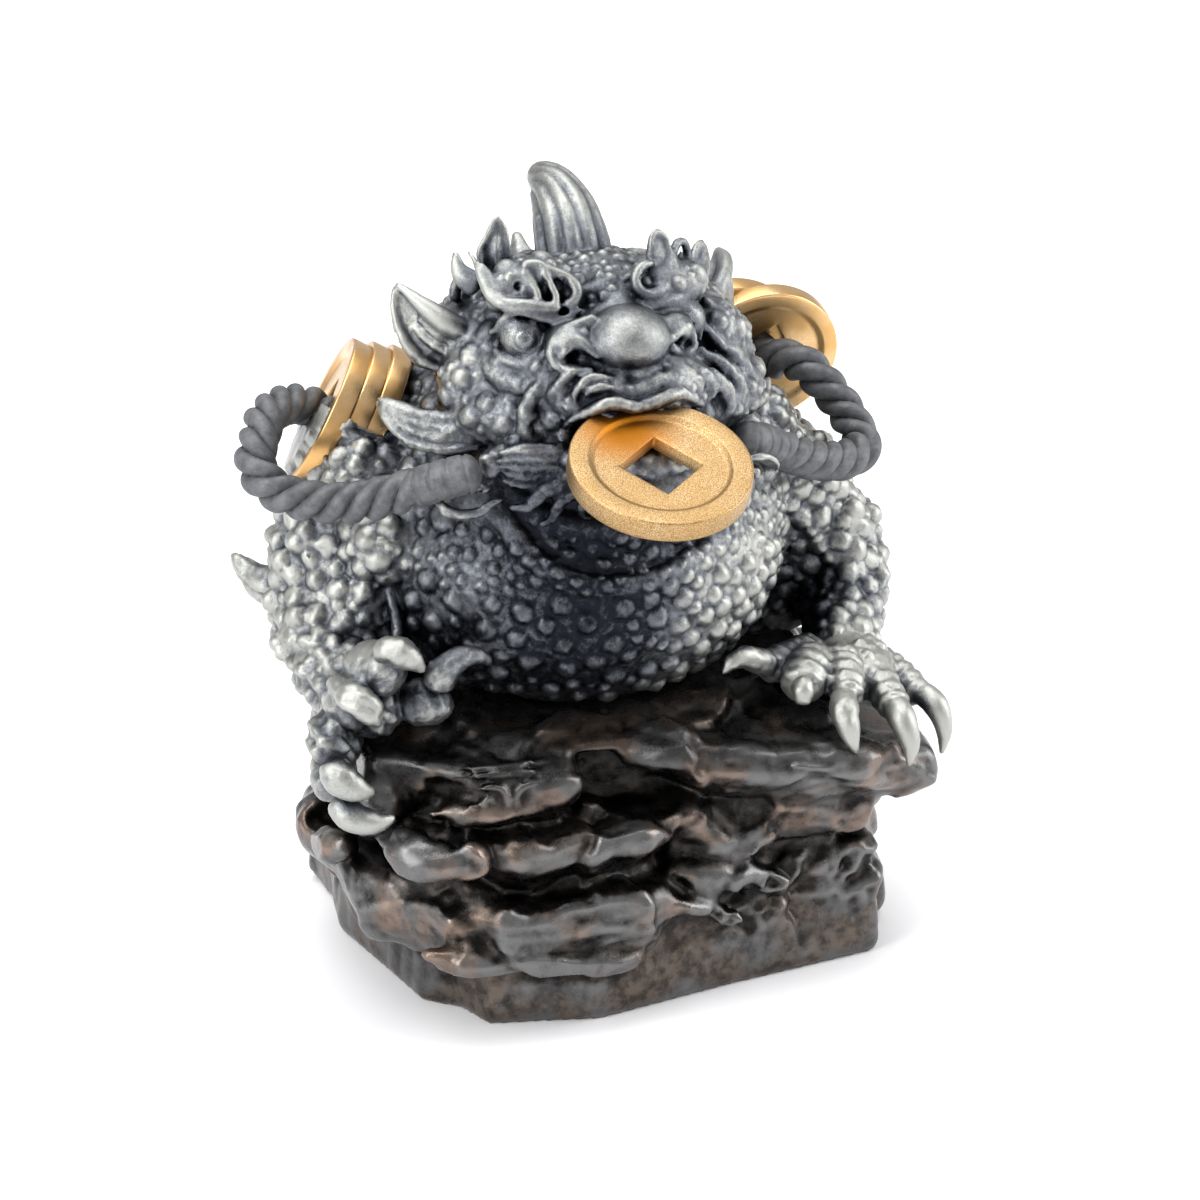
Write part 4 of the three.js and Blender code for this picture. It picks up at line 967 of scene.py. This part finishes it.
forms = []
for spine, radii, *options in CARVED:
    limb(forms, spine, radii, **dict(*options))
for centre, radii in CARVED_BALLS:
    ball(forms, centre, radii)
skin = modified(joined(forms, "toad", soft), "REMESH", mode="VOXEL", voxel_size=TOAD_VOXEL)
move_points(skin, averaged(skin, points_of(skin), 1))
fill_creases(skin, 1, 3, 0.5)
points = points_of(skin)
normals = normals_of(skin)
tree = tree_of(points)

for centre, radius, push in DENTS:
    for _, i, distance in tree.find_range(centre, radius * 1.5):
        points[i] += np.array(push) * math.exp(-(distance / radius * 1.3) ** 2 * 1.4)
for path, width, depth in GROOVES:
    reach = {}
    for p in trail(path, 90):
        for _, i, distance in tree.find_range(p, width * 2.2):
            reach[i] = min(distance, reach.get(i, 9))
    for i, distance in reach.items():
        points[i] -= normals[i] * depth * math.exp(-(distance / width) ** 2)

# Middle lines and radii of the carved forms and creases, which keep the warts off them.
carved_centres, carved_radii = [], []
for spine, radii, *_ in CARVED:
    path = trail(spine, 24)
    carved_centres.append(path)
    carved_radii.append(np.interp(np.linspace(0, 1, 24), np.linspace(0, 1, len(radii)), radii))
for centre, radii in CARVED_BALLS:
    carved_centres.append(np.array([centre]))
    carved_radii.append(np.array([max(radii)]))
for path, width, _ in GROOVES:
    carved_centres.append(trail(path, 30))
    carved_radii.append(np.full(30, width * 0.4))
carved_centres = np.vstack(carved_centres)
carved_radii = np.concatenate(carved_radii)


def clear_of_carving(p):
    return (np.linalg.norm(carved_centres - p, axis=1) - carved_radii).min()


def wart_size(p, roll):
    """Radius of a wart at this place, the room it keeps round it and its height as a share of the
    radius, or None where the skin is bare."""
    x, y, z = p
    if z > 100 and abs(x) < 9 and y < -2:
        return 0.5 + 0.5 * roll, 0.95, 0.6
    if z > 84 and y < 4:
        return 0.5 + 1.2 * roll ** 2, 1, 0.45
    if y < -12 and abs(x) < 24 and z > 74:
        return None
    if y < -8 and abs(x) < 31 and z < 74:
        crowd = 1.22 - 0.32 * min(1, max(0, (x + 8) / 16))
        return (0.7 + 1.05 * roll, crowd, 0.62) if z < 66 else (0.5 + 0.6 * roll, 1.1, 0.55)
    if abs(x) > 30 and z < 47.5:
        return None
    if x < -30 and z < 55 and y < -2:
        return 0.5 + 0.7 * roll, 1.2, 0.5
    if abs(x) > 27:
        return 0.6 + 1.3 * roll, 0.84, 0.55
    return 0.8 + 1.3 * roll, 0.95, 0.5


# The largest warts are placed first, and smaller ones fill the gaps.
dice = np.random.default_rng(7)
rolls = np.sort(dice.uniform(0, 1, WART_TRIES))[::-1]
cells = {}
warts = []
for i, roll in zip(dice.choice(len(points), WART_TRIES, replace=False), rolls):
    p, n = points[i], normals[i]
    if p[2] < 42 or n[2] < -0.8:
        continue
    found = wart_size(p, roll)
    if not found:
        continue
    r, room, height = found
    cell = tuple((p // 5).astype(int))
    near = (w for dx in (-1, 0, 1) for dy in (-1, 0, 1) for dz in (-1, 0, 1)
            for w in cells.get((cell[0] + dx, cell[1] + dy, cell[2] + dz), ()))
    if any(math.dist(p, q) < (r + s) * room for q, s in near):
        continue
    if clear_of_carving(p) < r * 0.8:
        continue
    cells.setdefault(cell, []).append((p, r))
    warts.append((i, r, height))

# Each wart is a dome with a shallow moat, its outline warped a little.
base_points = points.copy()
smooth_normals = unit(averaged(skin, normals, 6))
warp = np.stack([field(base_points, 1.7, seed, 1) for seed in (21, 22, 23)], axis=1) * 0.3
warped = base_points + warp
rise = np.zeros(len(points))
lean = np.zeros((len(points), 3))
for i, r, share in warts:
    out = smooth_normals[i]
    close = np.array([j for _, j, _ in tree.find_range(points[i], r * 2)], int)
    close = close[normals[close] @ out > 0.1]
    offset = warped[close] - warped[i]
    across = np.sqrt(np.maximum(0, (offset * offset).sum(axis=1) - (offset @ out) ** 2)) / r
    dome = share * r * np.sqrt(np.maximum(0, 1 - across * across)) ** 1.2
    moat = -0.05 * r * np.sin(math.pi * np.clip((across - 1) / 0.5, 0, 1))
    height = np.where(across < 1, dome, moat)
    use = (height > rise[close]) | ((height < 0) & (rise[close] == 0))
    rise[close[use]] = height[use]
    lean[close[use]] = out
points += lean * rise[:, None]

# A little unevenness of the cast skin, and wrinkles across the lower right forearm.
x, _, z = base_points.T
uneven = field(base_points, 1.3, 11, 3) * 0.2 + field(base_points, 7, 12, 2) * 0.3
bare = fade(z, 42, 45) * (1 - fade(z, 100, 104))
points += smooth_normals * (uneven * bare)[:, None]
forearm = fade(-x, 33, 38) * (1 - fade(z, 54, 58)) * fade(z, 44, 47)
wrinkle = np.sin(2 * math.pi * (z * 0.9 + x * 0.55 + 2 * field(base_points, 8, 13, 2)) / 3.4)
points += smooth_normals * (0.32 * wrinkle * forearm)[:, None]


def pushed_off_rope(points, spine, radius):
    """Points inside a rope's round section are moved out to it."""
    path = trail(spine, 220)[8:]
    for start in range(0, len(points), 4000):
        part = points[start:start + 4000]
        distance = np.linalg.norm(part[:, None] - path[None, ::4], axis=2)
        for i in np.nonzero(distance.min(axis=1) < radius + 2)[0]:
            gaps = np.linalg.norm(path - part[i], axis=1)
            k = gaps.argmin()
            if 0.01 < gaps[k] < radius:
                part[i] = path[k] + (part[i] - path[k]) * (radius / gaps[k])


def pushed_off_coins(points, centre, normal, radius, half):
    """Points inside a round stack of coins are moved out to its nearest face."""
    n = unit(np.array(normal, float))
    offset = points - np.array(centre, float)
    along = offset @ n
    across = offset - along[:, None] * n
    far = np.linalg.norm(across, axis=1)
    inside = (np.abs(along) < half) & (far < radius)
    to_rim, to_face = radius - far, half - np.abs(along)
    rim = inside & (to_rim < to_face)
    face = inside & ~rim
    points[rim] += across[rim] * (to_rim[rim] / np.maximum(far[rim], 0.01))[:, None]
    points[face] += (np.sign(along[face]) * to_face[face])[:, None] * n


near_ropes = np.abs(points[:, 0]) > 12
picked = points[near_ropes]
for spine in (RIGHT_ROPE, LEFT_ROPE):
    pushed_off_rope(picked, spine, ROPE_RADIUS + 0.15)
points[near_ropes] = picked
pushed_off_coins(points, MOUTH_COIN_CENTRE, MOUTH_COIN_AXIS, 13.4, 1.95)
pushed_off_coins(points, (-32.9, 9.6, 83.4), RIGHT_STACK_AXIS, 12.4, 4.8)
low, high = (np.array(corner) * 1000 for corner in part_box("toad"))
points = np.clip(points, low + KEPT_INSIDE, high - KEPT_INSIDE)
move_points(skin, points)
hollow = 0.5 + 0.5 * np.tanh(hollowness(skin, 6) * 5)
toad_mesh = thinned(skin, TOAD_FACES, "toad_cast", hollow=hollow)

# Changes to how bright each point is rubbed, beyond how open it is: less on the chest, which is patina
# and painted shade under the head; more on the arms and the right ear; more on the left of the belly,
# which is painted light; a little less on the face.
x, y, z = points_of(toad_mesh).T
chest_patina_and_shade = np.exp(-((x + 7) / 17) ** 2) * fade(-y, 10, 20) * fade(z, 44, 52) * (1 - fade(z, 82, 90))
arms_and_lit_belly = fade(np.abs(x), 27, 33) * (1 - fade(z, 78, 84)) * (0.4 + 0.6 * fade(z, 50, 56))
# The front of the belly on the toad's left is lightened as painted light.
arms_and_lit_belly = arms_and_lit_belly + 1.3 * fade(x, 0, 12) * fade(-y, 10, 20) * (1 - fade(z, 66, 74))
face = fade(-y, 8, 16) * fade(z, 84, 90)
ear = fade(-x, 18, 22) * fade(z, 94, 98)
eyes = np.minimum(np.linalg.norm(points_of(toad_mesh) - RIGHT_EYE, axis=1),
                  np.linalg.norm(points_of(toad_mesh) - LEFT_EYE, axis=1) + 0.2)
add_attribute(toad_mesh, "gloss", 1 - fade(eyes, 3.6, 3.85))
# Openness darkens the pockets under the head and arms: patina, and painted shade.
rubbed_light_and_shade = openness(toad_mesh, 15) * (1 - 0.62 * chest_patina_and_shade) + 0.2 * arms_and_lit_belly - 0.06 * face + 0.3 * ear
add_attribute(toad_mesh, "open", rubbed_light_and_shade)

# Antiqued pewter: the casting is blackened and then rubbed, so bluish black stays in every hollow,
# grey on the slopes, and soft silver comes through on warts, ridges and claws. In the deep pockets
# under the head and arms the dark is painted shade as well as patina, the darker chest is partly
# painted shade, and the lighter left of the belly is painted light. The eyes are polished.
pewter, tree = blank_material("antiqued pewter")
place = node(tree, "TexCoord").outputs["Object"]
cloud = noise_at(tree, place, 0.12, 4, 0.6)
mottle = noise_at(tree, place, 1.1, 5, 0.7)
grain = noise_at(tree, place, 3.6, 3, 0.7)
polish_light_and_shade = painted(tree, "open")
for value, share in ((painted(tree, "hollow"), -0.7), (mottle, 0.45), (grain, 0.4), (cloud, 0.3)):
    polish_light_and_shade = plus(tree, polish_light_and_shade, value, share)
colour = mixed(tree, ramp(tree, polish_light_and_shade, 0.52, 1.08), linear(PEWTER_DARK), linear(PEWTER_MID))
colour = mixed(tree, ramp(tree, polish_light_and_shade, 0.98, 1.42), colour, linear(PEWTER_BRIGHT))
roughness = spread(tree, painted(tree, "gloss"), spread(tree, grain, 0.44, 0.27), 0.14, 0, 1)
finish_metal(tree, colour, roughness, 0.9, grain, 0.7, 0.00012)

toad_piece = finished(toad_mesh, pewter, "toad_cast")
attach(toad_piece, "root")
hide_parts("toad")

# The coin in the mouth: a cast cash coin with a flat raised rim, a sunk flat field and a square
# hole, sandblasted and gilt.
GOLD_DEEP = "#94774c"
GOLD_MID = "#c09f71"
GOLD_LIGHT = "#c9ad86"
# Painted reflection of the mouth, beside the lip.
GOLD_LIP_REFLECTION = "#a8691c"
# Where the upper lip meets the coin, in metres.
LIP = (-0.003, -0.0335, 0.0915)


def coin(bm, radius, thickness, hole, rim, sink, matrix, sides=128):
    """Adds a coin with a square hole, its axis along +Z before the matrix. Each ring runs from a
    circle at the rim to the square at the hole."""
    half, edge = thickness / 2, hole / 2
    inner = rim * radius
    floor = half - sink
    upper = (
        (radius, half - 0.35, 0), (radius - 0.05, half - 0.14, 0), (radius - 0.18, half - 0.02, 0),
        (radius - 0.4, half, 0),
        (inner + 0.4, half, 0), (inner + 0.14, half - 0.03, 0), (inner - 0.06, half - sink * 0.3, 0),
        (inner - 0.4, floor + sink * 0.16, 0), (inner - 0.65, floor, 0), (inner - 1, floor - 0.01, 0.02),
        (edge + 1.6, floor, 0.85), (edge + 0.3, floor, 1), (edge + 0.1, floor - 0.03, 1),
        (edge, floor - 0.16, 1))
    profile = list(upper) + [(r, -h, s) for r, h, s in reversed(upper)]
    rings = []
    for r, h, square in profile:
        ring = []
        for i in range(sides):
            a = 2 * math.pi * i / sides
            c, s = math.cos(a), math.sin(a)
            stretch = 1 + square * (1 / max(abs(c), abs(s)) - 1)
            ring.append(bm.verts.new(matrix @ Vector((c * r * stretch, s * r * stretch, h))))
        rings.append(ring)
    for a, b in zip(rings, rings[1:] + rings[:1]):
        for i in range(sides):
            j = (i + 1) % sides
            bm.faces.new((a[i], a[j], b[j], b[i]))


def standing(centre, normal, spin):
    """The place of a coin whose axis follows normal, spun by degrees about it."""
    n = Vector(normal).normalized()
    side = (Vector((1, 0, 0)) - n * n.x).normalized()
    turn = Matrix((side, n.cross(side), n)).transposed().to_4x4()
    return Matrix.Translation(centre) @ turn @ Matrix.Rotation(math.radians(spin), 4, "Z")


def mesh_from(bm, name):
    bmesh.ops.recalc_face_normals(bm, faces=bm.faces)
    mesh = bpy.data.meshes.new(name)
    bm.to_mesh(mesh)
    bm.free()
    return mesh


bm = bmesh.new()
coin(bm, 13.2, 3.4, 8.6, 0.77, 0.55, standing(MOUTH_COIN_CENTRE, MOUTH_COIN_AXIS, 37))
mouth_mesh = mesh_from(bm, "mouth_coin_cast")

# Sandblasted gilding: thin gold over a blasted casting, with a fine even sparkle of grains, and a
# painted reflection in deeper orange beside the lip, where coin and mouth mirror each other.
gilt, tree = blank_material("sandblasted gilding")
place = node(tree, "TexCoord").outputs["Object"]
grains = noise_at(tree, place, 6.5, 1, 0.6)
cloud = noise_at(tree, place, 0.2, 3, 0.5)
colour = mixed(tree, ramp(tree, cloud, 0.3, 0.7), linear(GOLD_LIGHT), linear(GOLD_MID))
colour = mixed(tree, ramp(tree, grains, 0.62, 0.42), colour, linear(GOLD_DEEP))
from_lip = node(tree, "VectorMath", dict(operation="DISTANCE"), _0=place, _1=LIP).outputs[1]
# Painted reflection: deeper orange within 10 mm of the lip.
colour = mixed(tree, ramp(tree, from_lip, 0.01, 0.002), colour, linear(GOLD_LIP_REFLECTION))
finish_metal(tree, colour, spread(tree, grains, 0.5, 0.34), 1.0, grains, 0.5, 0.00012)

mouth_piece = finished(mouth_mesh, gilt, "mouth_coin_cast")
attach(mouth_piece, "root")
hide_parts("mouth_coin")

# The two stacks of three coins behind the shoulders, fanned out a little and each cast in one:
# slightly smaller coins of the same pattern. Side, end of the stack, axis, slide per coin, spin.
STACKS = (
    ("right", (-36.6, 10, 84.3), RIGHT_STACK_AXIS, (0.5, 0.6, 0.6), 20),
    ("left", (35.2, 12, 84.3), (-0.05, -0.955, -0.296), (-5.2, 0.3, -0.3), 30),
)
POLISHED_DEEP = "#cfa46a"
POLISHED_LIGHT = "#dab88a"
# Polished gilding: the same thin gold over smooth metal, so that it mirrors the white room.
bright_gilt, tree = blank_material("polished gilding")
place = node(tree, "TexCoord").outputs["Object"]
wave = noise_at(tree, place, 0.16, 3, 0.5)
grains = noise_at(tree, place, 5, 2, 0.6)
colour = mixed(tree, ramp(tree, wave, 0.35, 0.65), linear(POLISHED_DEEP), linear(POLISHED_LIGHT))
finish_metal(tree, colour, spread(tree, wave, 0.34, 0.24), 1.0, grains, 0.25, 0.0001)

for side, end, normal, slide, spin in STACKS:
    bm = bmesh.new()
    n = Vector(normal).normalized()
    for i in range(3):
        back = (i + 0.5) * 3.1 - i * 0.15
        centre = Vector(end) - n * back + Vector(slide) * i
        coin(bm, 12, 3.1, 8.4, 0.8, 0.5, standing(centre, normal, spin + 12 * i))
    piece = finished(mesh_from(bm, f"{side}_coin_stack_cast"), bright_gilt, f"{side}_coin_stack_cast")
    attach(piece, "root")
    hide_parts(f"{side}_coin_stack")

# The two ropes: solid castings of a three-strand laid rope, whipped smooth where they leave the
# beard. The lay is the length over which a strand goes once round.
ROPE_LAY = 11.8
WHIPPED = 9
WHIP_PITCH = 2.3
ROPE_DARK = "#515255"
ROPE_GREY = "#6c6d6f"
ROPE_HOLLOW = "#0e0e10"
# Blackened pewter: matt as it was cast, grey along the strands and near black between them.
cord_metal, tree = blank_material("dark matt cast rope")
place = node(tree, "TexCoord").outputs["Object"]
mottle = noise_at(tree, place, 0.5, 4, 0.6)
grain = noise_at(tree, place, 3, 3, 0.65)
colour = mixed(tree, ramp(tree, mottle, 0.3, 0.7), linear(ROPE_DARK), linear(ROPE_GREY))
colour = mixed(tree, ramp(tree, painted(tree, "hollow"), 0.35, 0.9), colour, linear(ROPE_HOLLOW))
finish_metal(tree, colour, spread(tree, grain, 0.5, 0.7), 0.6, grain, 0.5, 0.00018)


def rope_mesh(spine, name, sides=54, count=400):
    """A three-strand laid rope as one skin, its first part whipped smooth and rounded off."""
    path = trail(spine, count)
    tangent, side = carried_frame(path)
    across = np.cross(tangent, side)
    run = np.r_[0, np.cumsum(np.linalg.norm(np.diff(path, axis=0), axis=1))]
    bm = bmesh.new()
    rings, groove = [], []
    for k in range(count):
        turn = 2 * math.pi * run[k] / ROPE_LAY
        laid = min(1, max(0, (run[k] - WHIPPED) / 3))
        cap = min(1, (run[k] + 0.05) / 2.4, (run[-1] - run[k] + 0.05) / 1.2)
        size = ROPE_RADIUS * math.sqrt(1 - (1 - cap) ** 2)
        whip = 0.98 - 0.1 * math.exp(-(math.sin(math.pi * run[k] / WHIP_PITCH) / 0.26) ** 2)
        ring = []
        for i in range(sides):
            a = 2 * math.pi * i / sides
            u = ((a + turn) * 3 / (2 * math.pi)) % 1 * 2 - 1
            bulge = math.sqrt(1 - (0.98 * u) ** 2)
            r = size * (laid * (0.48 + 0.56 * bulge) + (1 - laid) * whip)
            ring.append(bm.verts.new(path[k] + (side[k] * math.cos(a) + across[k] * math.sin(a)) * r))
            groove.append(laid * (1 - bulge))
        rings.append(ring)
    for a, b in zip(rings, rings[1:]):
        for i in range(sides):
            j = (i + 1) % sides
            bm.faces.new((a[i], a[j], b[j], b[i]))
    bm.faces.new(rings[0][::-1])
    bm.faces.new(rings[-1])
    mesh = mesh_from(bm, name)
    add_attribute(mesh, "hollow", np.array(groove))
    return mesh


for side_name, spine in (("right", RIGHT_ROPE), ("left", LEFT_ROPE)):
    mesh = rope_mesh(spine, f"{side_name}_rope_cast")
    piece = finished(mesh, cord_metal, f"{side_name}_rope_cast")
    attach(piece, "root")
    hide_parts(f"{side_name}_rope")

# The studio: a broad light above and behind, a softbox on each side, and a sweep of white paper,
# which is matt and even, so that only soft shadows show on it.
bm = bmesh.new()
bmesh.ops.create_grid(bm, x_segments=1, y_segments=1, size=3000)
floor_finish, tree = blank_material("white paper sweep")
shader = node(tree, "BsdfPrincipled", Base_Color=linear("#f6f6f8"), Roughness=0.8)
node(tree, "OutputMaterial", Surface=shader.outputs[0])
floor = finished(mesh_from(bm, "floor"), floor_finish, "floor")

world = bpy.data.worlds.new("studio")
world.use_nodes = True
world.node_tree.nodes["Background"].inputs[0].default_value = (1, 1, 1, 1)
world.node_tree.nodes["Background"].inputs[1].default_value = 0.68
bpy.context.scene.world = world


def softbox(name, place, size, power):
    light = bpy.data.lights.new(name, "AREA")
    light.shape = "RECTANGLE"
    light.size, light.size_y = size
    light.energy = power
    lamp = bpy.data.objects.new(name, light)
    lamp.location = place
    aim = Vector((0, 0, 0.06)) - lamp.location
    lamp.rotation_euler = aim.to_track_quat("-Z", "Y").to_euler()
    bpy.context.scene.collection.objects.link(lamp)


softbox("left_softbox", (-1.3, -0.5, 0.8), (0.9, 1.2), 20)
softbox("right_softbox", (1.4, -0.4, 0.7), (0.9, 1.2), 18)
softbox("top_softbox", (-0.1, 0.2, 1.6), (1.6, 1.2), 25)

# The camera stands 620 mm off, 18 degrees to the toad's right and 22 degrees up.
CAMERA_DISTANCE = 0.62
AIM = (0.0045, 0, 0.0522)
camera = bpy.data.cameras.new("camera")
camera.lens = 120.9
camera.sensor_width = 36
camera_object = bpy.data.objects.new("camera", camera)
turn, rise_angle = math.radians(-18), math.radians(22)
right = Vector((math.cos(turn), math.sin(turn), 0))
level = math.cos(rise_angle)
back = Vector((math.sin(turn) * level, -math.cos(turn) * level, math.sin(rise_angle)))
stand = Matrix.Translation(Vector(AIM) + back * CAMERA_DISTANCE)
camera_object.matrix_world = stand @ Matrix((right, back.cross(right), back)).transposed().to_4x4()
bpy.context.scene.collection.objects.link(camera_object)
bpy.context.scene.camera = camera_object
bpy.context.scene.view_settings.view_transform = "Standard"
